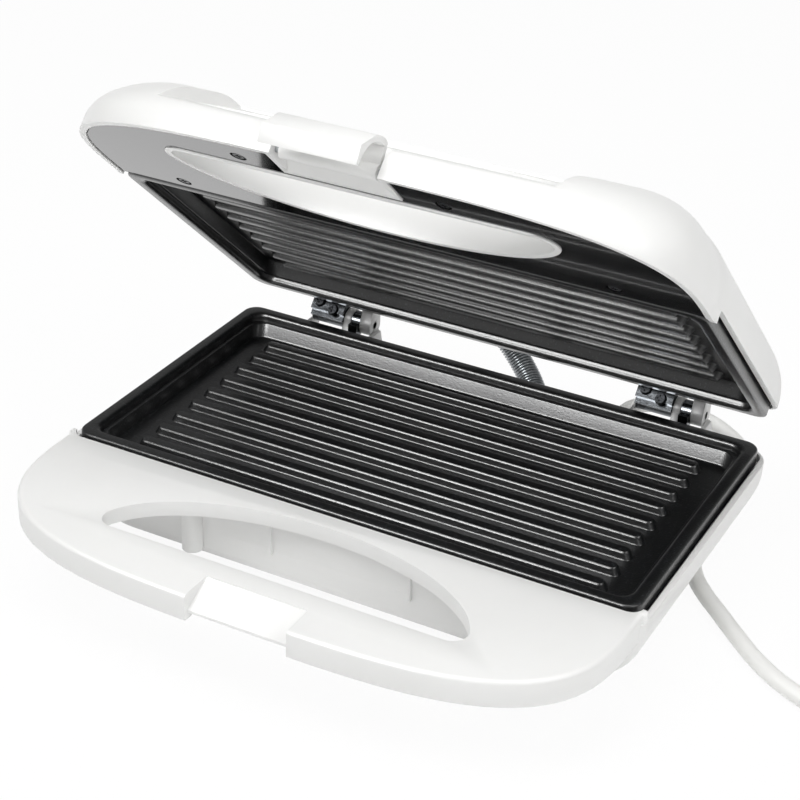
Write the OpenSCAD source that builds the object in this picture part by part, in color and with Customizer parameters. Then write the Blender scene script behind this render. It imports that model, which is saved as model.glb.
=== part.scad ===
// Sandwich toaster: two hinged halves with ribbed non-stick plates, a grip at the front and a hooked latch.
// Millimetres. Z = 0 is the table, the front is -Y, X = 0 is the middle plane.
// The lid is drawn at the angle at which it stands open; its own sizes are written for the shut lid.

/* [Plates] */
// Width over a plate's rim
plate_w = 232; // [200:1:250]
// Depth over a plate's rim, front to back
plate_d = 128; // [110:1:150]
// Corner radius of a plate's rim
plate_corner = 6; // [4:0.5:12]
// Width of the flat rim
rim_w = 5.5; // [4:0.5:8]
// Width of the narrow ledge inside the rim
ledge_w = 1.3; // [0.8:0.1:2.5]
// Drop from the rim to the ledge
ledge_drop = 1.4; // [0.8:0.1:2.5]
// Depth of the cooking surface below the rim
tub_depth = 11; // [9:0.5:14]
// Thickness of the plate casting
plate_t = 2.6; // [2:0.1:4]
// Height of the outer skirt of a plate
plate_skirt_h = 6.5; // [5:0.5:9]
// Number of ribs on a plate
rib_count = 9; // [5:1:11]
// Width of a rib at its foot
rib_w = 6; // [4:0.2:7]
// Height of a rib
rib_h = 3; // [2:0.2:4]
// Length of a rib
rib_len = 194; // [160:1:196]

/* [Housing] */
// Wall thickness of the housings
wall = 2.3; // [1.8:0.1:3]
// Height of the lower plate's rim above the table
rim_z = 40; // [38:0.5:46]
// Depth of the lower housing below the plate's rim
tray_depth = 35.5; // [33:0.5:37]
// Height of the lid above its own plate's rim
lid_h = 33; // [32:0.5:38]
// Gap between the two rims when shut
rim_gap = 2.2; // [1.5:0.1:3]
// Step from a rim down to the side wall's edge
edge_step = 4.5; // [3.5:0.1:6]
// Radius of the rounded sides
side_round = 28; // [22:1:30]
// Radius of the rounded back edge
back_round = 13; // [8:0.5:15]
// Clearance round a plate's skirt
plate_clear = 1.2; // [0.8:0.1:2]
// Corner radius of the housings in plan
plan_corner = 12; // [9:0.5:16]

/* [Grip] */
// Reach of the grip in front of the plates
grip_reach = 69.5; // [62:0.5:76]
// Squareness of the grip's outline (2 is an ellipse)
grip_power = 3.3; // [2.6:0.1:4]
// Height of the lower grip's skirt
skirt_h = 10.5; // [9.5:0.5:13]
// Drop from the rim to the top of the lower grip
grip_drop = 1; // [0.5:0.1:2]
// Gap between the grip and the plate
grip_gap = 1.3; // [0.8:0.1:2]
// Width of the hand hole
hole_w = 148; // [130:1:156]
// Depth of the hand hole, front to back
hole_d = 38.5; // [30:0.5:42]
// Distance from the plate to the hand hole
hole_back = 8.5; // [7.5:0.5:12]
// Height of the lip round the lower hand hole
hole_lip = 6; // [4:0.5:8]
// Height of the lid's front face above its rim
lip_h = 10; // [9:0.5:12]

/* [Latch] */
// Width of the latch
latch_w = 36; // [30:1:44]
// Free space at each side of the latch
latch_side = 2; // [1.5:0.1:3]
// Outer radius of the latch's curve
latch_r = 12.5; // [12.5:0.1:13.5]
// Thickness of the latch's wall
latch_t = 2; // [1.6:0.1:2.4]
// Radius of the latch's hinge barrel
barrel_r = 2.8; // [2.4:0.1:3]
// Radius of the latch pin
latch_pin_r = 1.25; // [1:0.05:1.5]

/* [Hinge] */
// Distance from the plates' back rim to the hinge axis
hinge_back = 10.5; // [10:0.5:13]
// Height of the hinge axis below the lower plate's rim
hinge_drop = 0.3; // [0:0.1:1]
// Distance of each hinge from the middle plane
hinge_x = 75; // [60:1:80]
// Width over the two cheeks of a hinge
hinge_w = 34; // [32:1:40]
// Thickness of a cheek at its top
cheek_t = 2.5; // [2:0.1:3]
// Thickness of the lower ear
ear_t = 3; // [2.5:0.1:4]
// Radius of an ear
ear_r = 4.8; // [4.4:0.1:5.4]
// Radius of the hinge pins
pin_r = 1.6; // [1.3:0.1:2]
// Radius of the steel knuckles
knuckle_r = 4.4; // [4:0.1:5]
// Width of the lower leaf's knuckle
low_leaf_w = 4; // [3:0.1:5]
// Width of the upper leaf
high_leaf_w = 15.5; // [13:0.5:15.5]
// Angle at which the lid stands open
lid_open = 41.8; // [20:0.2:60]
// Running clearance on a pin, in radius
run_clear = 0.05; // [0.03:0.01:0.08]

/* [Feet] */
// Radius of a rubber foot
foot_r = 7; // [5:0.5:9]
// Distance between the feet, side to side
foot_span_x = 150; // [130:1:160]
// Distance between the feet, front to back
foot_span_y = 88; // [80:1:92]

/* [Wiring] */
// Radius of a tubular heating element
heater_r = 3.2; // [2.8:0.1:3.6]
// Outer radius of the spring conduit
conduit_r = 5; // [4.5:0.1:5.5]
// Radius of the conduit's steel wire
wire_r = 0.4; // [0.3:0.05:0.4]
// Pitch of the conduit's curls
wire_pitch = 2; // [2:0.1:2.6]
// Distance of the conduit's ends from the middle plane
conduit_x = 16; // [12:1:22]
// Height of the conduit's ends above and below the hinge axis
conduit_z = 19; // [17:0.5:21]
// Diameter of the mains cord
cord_d = 6.5; // [6:0.1:7]
// Distance of the cord's exit from the middle plane
exit_x = 46; // [40:1:50]
// Height of the cord's exit
exit_z = 17; // [16:0.5:19]
// Length of the strain relief outside the housing
relief_len = 22; // [20:1:22]

/* [Hidden] */

shell_gap = plate_clear + wall;
// Width over both housings, which close round the plates' skirts.
shell_w = plate_w + 2 * shell_gap;
bush_flange = 2.5;
bush_collar = 3;

// Centre line of the conduit, from the hinge axis: straight through each bush, with one bend between.
straight = 2 * conduit_r;
swing = 18;
tail_y = shell_gap - hinge_back - wall - bush_collar;
low_dir = [0, 1, 0];
high_dir = [0, cos(lid_open), -sin(lid_open)];
low_end = [conduit_x, tail_y, -conduit_z];
high_end = [-conduit_x, tail_y * cos(lid_open) + conduit_z * sin(lid_open),
    -tail_y * sin(lid_open) + conduit_z * cos(lid_open)];
bend_steps = 30;

function bezier(a, b, c, d, t) =
    a * pow(1 - t, 3) + 3 * b * t * pow(1 - t, 2) + 3 * c * t * t * (1 - t) + d * pow(t, 3);

conduit_pts = let (a = low_end + straight * low_dir, d = high_end + straight * high_dir)
    concat([for (i = [0:3]) low_end + straight * low_dir * i / 4],
        [for (i = [0:bend_steps]) bezier(a, a + swing * low_dir, d + swing * high_dir, d, i / bend_steps)],
        [for (i = [3:-1:0]) high_end + straight * high_dir * i / 4]);

// Places, front to back. The origin is in the middle of the toaster's length as it stands open.
conduit_reach = max([for (p = conduit_pts) p[1]]) + conduit_r;
rear_reach = plate_d + hinge_back + conduit_reach;
plate_y0 = (grip_reach - rear_reach) / 2;
plate_y1 = plate_y0 + plate_d;
plate_yc = plate_y0 + plate_d / 2;
hinge_y = plate_y1 + hinge_back;
hinge_z = rim_z - hinge_drop;
lid_rim = rim_z + rim_gap;
half_w = shell_w / 2;
shell_y1 = plate_y1 + shell_gap;
shell_y0 = plate_y0 - grip_gap;
grip_half = half_w - 1.3;
grip_y0 = plate_y0 - grip_reach;
grip_top = rim_z - grip_drop;
tray_z = rim_z - tray_depth;
lid_top = lid_rim + lid_h;
tub_w = plate_w - 2 * (rim_w + ledge_w);
tub_d = plate_d - 2 * (rim_w + ledge_w);
under_tub = tub_depth + plate_t;
boss_r = 4;
tower_r = 5.2;
boss_x = 70;
boss_y = 34;
screw_r = 1.5;
reflector_t = 0.6;
heater_gap = 1;
reflector_drop = under_tub + 2 * heater_r + heater_gap;
hole_front = plate_y0 - hole_back - hole_d;
hole_rear = plate_y0 - hole_back;
notch_w = latch_w + 2 * latch_side;
notch_d = 14;
notch_y = grip_y0 + notch_d;
seam = 0.3;
ramp_drop = 6.6;
ramp_t = 2;
latch_y = grip_y0 + 4.5;
latch_z = lid_rim + 3.2;
latch_swing = 75;
catch_z = grip_top - ramp_drop - ramp_t - latch_z;
catch_clear = 0.7;
head_h = 1.9;
counterbore = 4;

// ---- Outlines in plan ----

// Right half of the grip's outline, from the front to the side; inset moves it inwards at the side and front.
grip_steps = [4, 11, 18, 26, 34, 42, 50, 58, 66, 73, 80, 86, 90];
function grip_half_line(ix, iy) =
    [for (a = grip_steps) let (e = 2 / grip_power)
        [(grip_half - ix) * pow(sin(a), e), plate_y0 - (grip_reach - iy) * pow(max(cos(a), 0), e)]];

// Right half of a rounded back end, from the side to the back.
function back_half_line(ix, iy, y1) =
    let (r = plan_corner)
    [for (i = [0:4]) let (a = 90 * i / 4)
        [half_w - ix - r + r * cos(a), y1 - iy - r + r * sin(a)]];

// Right half of the tray's front end, from the front to the side.
front_corner = 5;
function front_half_line(ix, iy, y0) =
    let (r = front_corner)
    [for (i = [0:4]) let (a = -90 + 90 * i / 4)
        [half_w - ix - r + r * cos(a), y0 + iy + r + r * sin(a)]];

// ---- Shells made from rings ----

// A closed body through rings of points. Each ring is the right half, front to back, and is mirrored.
module ring_body(rings) {
    m = len(rings[0]);
    n = 2 * m;
    top = len(rings) - 1;
    pts = [for (r = rings) for (i = [0:n - 1])
        i < m ? r[i] : [-r[n - 1 - i][0], r[n - 1 - i][1], r[n - 1 - i][2]]];
    sides = [for (k = [0:top - 1]) for (i = [0:n - 1]) let (j = (i + 1) % n)
        each [[k * n + i, (k + 1) * n + i, (k + 1) * n + j], [k * n + i, (k + 1) * n + j, k * n + j]]];
    floors = [for (i = [0:m - 2]) each [[i, i + 1, n - 2 - i], [i, n - 2 - i, n - 1 - i]]];
    roofs = [for (f = floors) [f[2] + top * n, f[1] + top * n, f[0] + top * n]];
    polyhedron(points = pts, faces = concat(sides, floors, roofs), convexity = 6);
}

// Height of the lid's back at a place y: level over the plates, falling to the grip's front.
function lid_roof(y, inset) =
    let (flat_z = lid_top - inset,
        slope_z = lid_rim + 15 + 0.345 * (y - grip_y0) - inset,
        soft = 3,
        gap = max(soft - abs(flat_z - slope_z), 0) / soft)
    min(flat_z, slope_z) - gap * gap * soft / 4;

// The lid's outer form, or with an inset its hollow.
module lid_form(inset, foot_z) {
    side = side_round - inset;
    nose = 19 - inset;
    back = back_round - inset;
    rise_z = lid_rim + 5;
    steps = [-1, 0, 15, 30, 45, 60, 75, 90];
    ring_body([for (k = [0:len(steps) - 1])
        let (a = max(steps[k], 0), c = 1 - cos(a))
        [for (p = concat(grip_half_line(inset + side * c, inset + nose * c),
                [[half_w - inset - side * c, plate_y0 + 4], [half_w - inset - side * c, plate_yc]],
                back_half_line(inset + side * c, inset + back * c, shell_y1)))
            [p[0], p[1], steps[k] < 0 ? foot_z : rise_z + (lid_roof(p[1], inset) - rise_z) * sin(a)]]]);
}

// The lower housing's bowl, or with an inset its hollow, drawn downwards from the side wall's edge.
module tray_form(inset, head_z) {
    side = side_round - inset;
    front = 3.5 - inset;
    back = back_round - inset;
    rise = edge_step + 3;
    steps = [-1, 0, 15, 30, 45, 60, 75, 90];
    mirror([0, 0, 1])
        ring_body([for (k = [0:len(steps) - 1])
            let (a = max(steps[k], 0), c = 1 - cos(a))
            [for (p = concat(front_half_line(inset + side * c, inset + front * c, shell_y0 - wall),
                    [[half_w - inset - side * c, plate_yc]],
                    back_half_line(inset + side * c, inset + back * c, shell_y1)))
                [p[0], p[1], steps[k] < 0 ? -head_z : -rim_z + rise + (tray_depth - inset - rise) * sin(a)]]]);
}

// ---- Small shapes used by several parts ----

// A rounded rectangle in plan, centred on the plates.
module plate_outline(w, d, r) {
    translate([0, plate_yc]) {
        square([w - 2 * r, d], center = true);
        square([w, d - 2 * r], center = true);
        for (x = [-1, 1], y = [-1, 1])
            translate([x * (w / 2 - r), y * (d / 2 - r)])
                circle(r, $fn = 32);
    }
}

// The hand hole in plan: straight at the front, half an ellipse at the back.
// grow widens it all round, and trim moves its front edge back.
lid_trim = 1.5;
module hand_hole(grow, trim = 0) {
    a = hole_w / 2;
    r = 6;
    d = hole_d - trim;
    offset(delta = grow)
        offset(r = r, $fn = 24)
        offset(delta = -r)
        polygon([for (i = [0:20]) [a * cos(9 * i), hole_front + trim + d * sin(9 * i)]]);
}

// A cylinder along X from x0 to x1.
module rod_x(x0, x1, r, fn = 48) {
    translate([x0, 0, 0])
        rotate([0, 90, 0])
        cylinder(h = x1 - x0, r = r, $fn = fn);
}

// A cylinder along Y from y0 to y1.
module rod_y(y0, y1, r, fn = 48) {
    translate([0, y0, 0])
        rotate([-90, 0, 0])
        cylinder(h = y1 - y0, r = r, $fn = fn);
}

// A screw with its head down at the origin and its shaft upwards.
module screw(len, head_r, head_h, r = screw_r) {
    difference() {
        union() {
            cylinder(h = head_h, r1 = head_r * 0.8, r2 = head_r, $fn = 32);
            cylinder(h = len, r = r, $fn = 24);
        }
        for (a = [0, 90])
            rotate(a)
                translate([-head_r * 0.55, -0.4, -0.1])
                cube([head_r * 1.1, 0.8, head_h * 0.6 + 0.1]);
    }
}

function unit(v) = v / norm(v);

// A tube of given radius and sides along points; each ring halves the bend at its point.
module tube(points, r, sides) {
    n = len(points);
    dirs = [for (i = [0:n - 1])
        unit((i < n - 1 ? unit(points[i + 1] - points[i]) : [0, 0, 0]) + (i > 0 ? unit(points[i] - points[i - 1]) : [0, 0, 0]))];
    pts = [for (i = [0:n - 1])
        let (x = unit(cross(abs(dirs[i][2]) > 0.9 ? [0, 1, 0] : [0, 0, 1], dirs[i])), y = cross(dirs[i], x))
        for (j = [0:sides - 1]) points[i] + r * (cos(360 * j / sides) * x + sin(360 * j / sides) * y)];
    skin = [for (i = [0:n - 2]) for (j = [0:sides - 1]) let (k = (j + 1) % sides)
        each [[i * sides + j, (i + 1) * sides + j, (i + 1) * sides + k],
            [i * sides + j, (i + 1) * sides + k, i * sides + k]]];
    last = (n - 1) * sides;
    ends = [for (j = [1:sides - 2]) each [[0, j, j + 1], [last, last + j + 1, last + j]]];
    polyhedron(points = pts, faces = concat(skin, ends), convexity = 10);
}

// Turns what is drawn for the shut lid to the angle at which the lid stands open.
module as_opened() {
    translate([0, hinge_y, hinge_z])
        rotate([-lid_open, 0, 0])
        translate([0, -hinge_y, -hinge_z])
        children();
}

// Turns what is drawn for the lower half over, so that it faces down from the lid.
module as_lid_half() {
    translate([0, 0, rim_z + lid_rim])
        mirror([0, 0, 1])
        children();
}

module at_feet() {
    for (x = [-1, 1], y = [-1, 1])
        translate([x * foot_span_x / 2, plate_yc + y * foot_span_y / 2, 0])
            children();
}

module at_bosses() {
    for (x = [-1, 1], y = [-1, 1])
        translate([x * boss_x, plate_yc + y * boss_y, 0])
            children();
}

// A pad on a back wall round an outlet, and the outlet's bore with a recess from inside.
module outlet_pad(x, z) {
    translate([x, 0, z])
        rod_y(shell_y1 - wall - 6, shell_y1, conduit_r + 4.2, 32);
}

module outlet_bore(x, z, bore, recess) {
    translate([x, 0, z]) {
        rod_y(plate_y1 - 8, shell_y1 + 5, bore, 32);
        rod_y(plate_y1 - 8, shell_y1 - wall, recess, 32);
    }
}

module at_hinges() {
    for (x = [-1, 1])
        translate([x * hinge_x, hinge_y, hinge_z])
            children();
}

// ---- Plates and what lies behind them ----

module cooking_plate() {
    rib_room = tub_d - 20;
    difference() {
        union() {
            translate([0, 0, rim_z - plate_t])
                linear_extrude(plate_t)
                plate_outline(plate_w, plate_d, plate_corner);
            translate([0, 0, rim_z - plate_skirt_h])
                linear_extrude(plate_skirt_h)
                difference() {
                    plate_outline(plate_w, plate_d, plate_corner);
                    plate_outline(plate_w - 2 * plate_t, plate_d - 2 * plate_t, plate_corner - plate_t);
                }
            translate([0, 0, rim_z - under_tub])
                linear_extrude(under_tub)
                plate_outline(tub_w + 2 * plate_t, tub_d + 2 * plate_t, plate_corner + 2);
            at_bosses()
                translate([0, 0, rim_z - reflector_drop + reflector_t])
                cylinder(h = reflector_drop - reflector_t - tub_depth - 1, r = boss_r, $fn = 32);
        }
        translate([0, 0, rim_z - ledge_drop])
            linear_extrude(ledge_drop + 1)
            plate_outline(plate_w - 2 * rim_w, plate_d - 2 * rim_w, plate_corner);
        translate([0, 0, rim_z - tub_depth])
            linear_extrude(tub_depth + 1)
            plate_outline(tub_w, tub_d, plate_corner);
        at_bosses()
            translate([0, 0, rim_z - reflector_drop])
            cylinder(h = 8, r = screw_r + run_clear, $fn = 24);
    }
    for (i = [0:rib_count - 1])
        translate([-rib_len / 2, plate_yc - rib_room / 2 + i * rib_room / (rib_count - 1), rim_z - tub_depth])
            rib();
}

// One rib along X: a trapezium with chamfered ends.
module rib() {
    rotate([90, 0, 90])
        linear_extrude(rib_len)
        polygon([[-rib_w / 2, -0.2], [rib_w / 2, -0.2], [rib_w * 0.36, rib_h * 0.72], [rib_w * 0.2, rib_h],
            [-rib_w * 0.2, rib_h], [-rib_w * 0.36, rib_h * 0.72]]);
}

// A tubular element bent to a U, with its connecting pins.
module heater() {
    bend = 27;
    leg = 60;
    z = rim_z - under_tub - heater_r - 0.05;
    translate([0, plate_yc, z])
        tube(concat([[-leg, -bend, 0], [0, -bend, 0]],
            [for (i = [0:12]) [leg + bend * sin(15 * i), -bend * cos(15 * i), 0]],
            [[0, bend, 0], [-leg, bend, 0]]), heater_r, 12);
    for (y = [-1, 1])
        translate([0, plate_yc + y * bend, z])
            rod_x(-leg - 9, -leg + 1, 1);
}

// Heat shield: a flat sheet with its ends turned away from the element, drilled for the screws.
module reflector() {
    w = 2 * boss_x + 24;
    d = 2 * boss_y + 24;
    lip = 2.5;
    z = rim_z - reflector_drop;
    difference() {
        union() {
            translate([-w / 2, plate_yc - d / 2, z])
                cube([w, d, reflector_t]);
            for (x = [-w / 2, w / 2 - reflector_t])
                translate([x, plate_yc - d / 2, z + reflector_t - lip])
                    cube([reflector_t, d, lip]);
        }
        at_bosses()
            translate([0, 0, z - 1])
            cylinder(h = reflector_t + 2, r = screw_r + 0.3, $fn = 24);
    }
}

// ---- Lower half ----

module base_shell() color("whitesmoke") resize([0, 0, 0]) {
    room = 2 * plate_clear - 0.3;
    difference() {
        union() {
            difference() {
                union() {
                    tray_form(0, rim_z - edge_step);
                    outlet_pad(exit_x, exit_z);
                    outlet_pad(conduit_x, hinge_z - conduit_z);
                    grip_body();
                }
                difference() {
                    grip_hollow();
                    tray_form(0, rim_z + 1);
                }
            }
            grip_inside();
        }
        tray_form(wall, rim_z + 1);
        // room for the plate and its skirt
        translate([0, 0, rim_z - plate_skirt_h - 1.5])
            linear_extrude(tub_depth)
            plate_outline(plate_w + room, plate_d + room, plate_corner);
        grip_openings();
        at_bosses()
            translate([0, 0, -1])
            cylinder(h = tray_z + wall + 2, r = 3.5, $fn = 20);
        // cord and conduit outlets in the back wall
        outlet_bore(exit_x, exit_z, 6, 7.8);
        outlet_bore(conduit_x, hinge_z - conduit_z, conduit_r + 1.5, conduit_r + 2.7);
        // holes for the leaves' screws
        at_hinges()
            for (x = [2.7, low_plate_w - 2.7])
                translate([low_leaf_x + low_plate_x + x, 0, -12.8])
                    rod_y(arm_y - wall - 3, arm_y + 1, screw_r + 0.2, 16);
    }
    // screw towers under the plate
    difference() {
        at_bosses()
            translate([0, 0, tray_z + 0.8])
            cylinder(h = rim_z - reflector_drop - tray_z - 0.8, r = tower_r, $fn = 24);
        at_bosses() {
            translate([0, 0, -1])
                cylinder(h = tray_z + counterbore + 1, r = 3.5, $fn = 20);
            cylinder(h = rim_z, r = screw_r + 0.2, $fn = 16);
        }
    }
    // ears and cheeks of the two hinges
    at_hinges() {
        ear(ear_x, ear_x + ear_t, -edge_step, 9.2);
        for (x = [-1, 1])
            scale_x(x)
            translate([-hinge_w / 2, 2, 0])
            rotate([90, 0, 0])
            linear_extrude(2 - wall_y)
            polygon([[0, -17], [0, -8.5], [cheek_t * 0.4, -3], [cheek_t, -2.5], [cheek_t, -17]]);
    }
}

// The flat lower grip in the solid.
module grip_body() {
    edge = 1.5;
    skirt_z = grip_top - skirt_h;
    ring_body([for (k = [[0, skirt_z], [0, grip_top - edge], [edge * 0.3, grip_top - edge * 0.3], [edge, grip_top]])
        [for (p = concat(grip_half_line(k[0], k[0]), [[half_w, plate_y0 + 0.8], [half_w, shell_y0 + 4]]))
            [p[0], p[1], k[1]]]]);
}

// The grip's hollow, open underneath.
module grip_hollow() {
    ring_body([for (z = [grip_top - skirt_h - 1, grip_top - wall])
        [for (p = concat(grip_half_line(wall, wall), [[half_w - wall, shell_y0 + 1], [half_w - wall, shell_y0 + 2.6]]))
            [p[0], p[1], z]]]);
}

// Lip round the hand hole, ramp and cheeks of the latch notch, and ribs on the tray's front wall.
module grip_inside() {
    skirt_z = grip_top - skirt_h;
    translate([0, 0, grip_top - hole_lip])
        linear_extrude(hole_lip - wall / 2)
        hand_hole(wall);
    rotate([90, 0, 90])
        translate([0, 0, -notch_w / 2 - wall + 1])
        linear_extrude(notch_w + 2 * wall - 2)
        polygon([[notch_y - 1.5, grip_top - 0.6], [notch_y + 2, grip_top - 0.6], [notch_y + 2, grip_top - 3.5],
            [notch_y, grip_top - wall - 1.4], [grip_y0 + 1.5, grip_top - ramp_drop - ramp_t],
            [grip_y0 + 1.5, grip_top - ramp_drop + 0.6]]);
    for (x = [-1, 1])
        translate([x * (notch_w / 2 + wall / 2 - 0.05) - wall / 2, grip_y0 + 1, skirt_z])
            cube([wall, notch_d, skirt_h - wall / 2]);
    for (x = [-27, 31])
        translate([x, shell_y0 - wall - 1.2, rim_z - 24])
            cube([1.6, 1.7, 15]);
    translate([-60, shell_y0 - wall - 1, rim_z - 32])
        cylinder(h = 25, r = 4, $fn = 24);
}

module grip_openings() {
    catch_top = grip_top - ramp_drop - ramp_t;
    translate([0, 0, grip_top - 2 * hole_lip])
        linear_extrude(3 * hole_lip)
        hand_hole(0);
    // notch above the ramp, open to the front
    rotate([90, 0, 90])
        translate([0, 0, -notch_w / 2])
        linear_extrude(notch_w)
        polygon([[notch_y, grip_top + 5], [notch_y, grip_top - 0.4], [grip_y0 + 1.7, grip_top - ramp_drop],
            [grip_y0 + 1.7, catch_top + 0.9], [grip_y0 + 2.6, catch_top], [grip_y0 + wall + 0.7, catch_top],
            [grip_y0 + wall + 0.7, grip_top - 20], [grip_y0 - 5, grip_top - 20], [grip_y0 - 5, grip_top + 5]]);
}

module base_plate() color("#1c1f24") cooking_plate();

module base_heater() color("dimgray") heater();

module base_reflector() color("silver") reflector();

module base_screws() color("silver")
    at_bosses()
        translate([0, 0, tray_z + counterbore - head_h])
        screw(rim_z - reflector_drop - tray_z - counterbore + head_h + 7.5, 3.2, head_h);

module rubber_feet() color("#303030")
    at_feet()
        difference() {
            cylinder(h = tray_z, r1 = foot_r - 0.8, r2 = foot_r, $fn = 48);
            translate([0, 0, -0.1])
                cylinder(h = 1.1, r = foot_r / 3, $fn = 32);
        }

block_x = exit_x + 6;
block_y = plate_yc + boss_y + 6;
module terminal_block() color("ivory")
    translate([block_x, block_y, tray_z + wall]) {
        difference() {
            cube([26, 12, 8]);
            for (i = [0:2])
                translate([4.5 + 8.5 * i, 6, 3])
                    cylinder(h = 6, r = 2, $fn = 24);
        }
    }

// Leads from the terminals to the element, the conduit and the cord.
lead_r = 1;
pin_end = -69.3;
lead_x = -90;
pin_y = 27;
module base_wiring() color("#b03a2e") {
    z = tray_z + wall + 3.5;
    pin_z = rim_z - under_tub - heater_r - 0.05;
    inner_y = shell_y1 - wall - bush_collar - 0.05;
    for (k = [[block_x + 5, 1], [block_x + 9, -1]])
        tube([[k[0], block_y, z], [k[0], block_y - 6 + 2 * k[1], z], [30, plate_yc + 1 + 7 * k[1], z],
            [lead_x + 12, plate_yc + k[1] * (pin_y - 6), z], [lead_x, plate_yc + k[1] * pin_y, z + 6],
            [lead_x, plate_yc + k[1] * pin_y, pin_z - 3], [lead_x + 3, plate_yc + k[1] * pin_y, pin_z],
            [pin_end, plate_yc + k[1] * pin_y, pin_z]], lead_r, 8);
    tube([[conduit_x, inner_y, hinge_z - conduit_z], [conduit_x, inner_y - 4, hinge_z - conduit_z],
        [conduit_x + 6, inner_y - 11, z + 4], [block_x - 16, block_y + 8, z],
        [block_x - 0.02, block_y + 8, z]], 1.6, 8);
    tube([[exit_x, shell_y1 - wall - 1.7, exit_z], [exit_x, shell_y1 - wall - 5, exit_z],
        [exit_x, block_y + 9, z + 3], [block_x - 5, block_y + 3.5, z],
        [block_x - 0.02, block_y + 3.5, z]], 1.2, 8);
}

// ---- Hinge ----

// Places along a hinge, from its left end: cheek, upper leaf, lower ear, lower leaf, upper ear, cheek.
leaf_x = cheek_t + seam - hinge_w / 2;
ear_x = leaf_x + high_leaf_w + seam;
low_leaf_x = ear_x + ear_t + seam;
lid_ear_x = low_leaf_x + low_leaf_w + seam;
lid_ear_end = hinge_w / 2 - cheek_t - seam;
arm_y = shell_gap - hinge_back;
wall_y = arm_y - wall / 2;
arm_t = 2.2;

module scale_x(side) {
    if (side < 0) mirror([1, 0, 0]) children();
    else children();
}

// A plastic ear: a disc round the pin with an arm to the wall, whose edge lies at the height edge_z;
// the arm's foot reaches along the wall to the height foot above or below the pin.
module ear(x0, x1, edge_z, foot) {
    s = sign(edge_z);
    d = ear_r * 0.7;
    difference() {
        translate([x0, 0, 0])
            rotate([90, 0, 90])
            linear_extrude(x1 - x0)
            union() {
                circle(ear_r, $fn = 28);
                polygon([[-d, -s * d], [wall_y, edge_z + s * 0.8], [wall_y, s * foot], [d, s * d]]);
            }
        rod_x(x0 - 1, x1 + 1, pin_r + 0.15, 20);
    }
}

// A steel leaf of the knuckle's width w: knuckle, arm and a plate on the housing's back wall.
module hinge_leaf(w, plate_x, plate_w) {
    difference() {
        union() {
            rod_x(0, w, knuckle_r);
            translate([0, arm_y + 0.05, -16])
                cube([w, arm_t, 17]);
            translate([plate_x, arm_y + 0.05, -16])
                cube([plate_w, arm_t, 6.5]);
            translate([0, arm_y + 0.05, -knuckle_r])
                cube([w, -arm_y, knuckle_r - pin_r - 0.6]);
        }
        rod_x(-1, w + 1, pin_r + run_clear);
        for (x = [2.7, plate_w - 2.7])
            translate([plate_x + x, 0, -12.8])
                rod_y(arm_y - 1, arm_y + 3, screw_r + 0.1);
    }
}

low_plate_w = 12;
low_plate_x = (low_leaf_w - low_plate_w) / 2;

module base_hinge_leaves() color("#26282b")
    at_hinges()
        translate([low_leaf_x, 0, 0])
        hinge_leaf(low_leaf_w, low_plate_x, low_plate_w);

// The upper leaf has a clamp block in front of its knuckle.
clamp_y = 5;
module upper_leaf() {
    mirror([0, 0, 1])
        hinge_leaf(high_leaf_w, 0, high_leaf_w);
    translate([0, -clamp_y, -3.4])
        cube([high_leaf_w, clamp_y - pin_r - 0.5, 9]);
}

module lid_hinge_leaves() color("#26282b")
    as_opened()
        at_hinges()
        translate([leaf_x, 0, 0])
        upper_leaf();

// A screw through a leaf's plate into the back wall.
module leaf_screw() {
    translate([0, arm_y + arm_t + 1.45, -12.8])
        rotate([90, 0, 0])
        screw(arm_t + 1.4 + wall, 2.6, 1.3, screw_r);
}

module base_hinge_screws() color("silver")
    at_hinges()
        for (x = [2.7, low_plate_w - 2.7])
            translate([low_leaf_x + low_plate_x + x, 0, 0])
                leaf_screw();

// Four screws a hinge: two through the plate and two small ones on the arm's front.
module lid_hinge_screws() color("silver")
    as_opened()
        at_hinges() {
            for (x = [2.7, high_leaf_w - 2.7])
                translate([leaf_x + x, 0, 0])
                    mirror([0, 0, 1])
                    leaf_screw();
            for (p = [[3.6, 2.6], [10.6, 0.2]])
                translate([leaf_x + p[0], arm_y - 1.3, p[1]])
                    rotate([-90, 0, 0])
                    screw(1.3, 2.5, 1.3, 0.5);
        }

module hinge_pins() color("silver")
    at_hinges()
        rod_x(leaf_x, lid_ear_end, pin_r);

// ---- Conduit with the leads to the lid ----

// A bush in the back wall: flange outside, collar inside and bore, drawn along +Y from the wall's outer face.
module bush() {
    rotate([-90, 0, 0])
        difference() {
            union() {
                translate([0, 0, -wall])
                    cylinder(h = wall, r = conduit_r + 1.4, $fn = 48);
                cylinder(h = bush_flange, r = conduit_r + 2.6, $fn = 48);
                translate([0, 0, -wall - bush_collar])
                    cylinder(h = bush_collar, r = conduit_r + 2.4, $fn = 48);
            }
            translate([0, 0, -wall - bush_collar - 1])
                cylinder(h = wall + bush_collar + bush_flange + 2, r = conduit_r + 0.1, $fn = 48);
        }
}

module base_grommet() color("#202020")
    translate([conduit_x, shell_y1, hinge_z - conduit_z])
        bush();

module lid_grommet() color("#202020")
    as_opened()
        translate([-conduit_x, shell_y1, hinge_z + conduit_z])
        bush();

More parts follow.
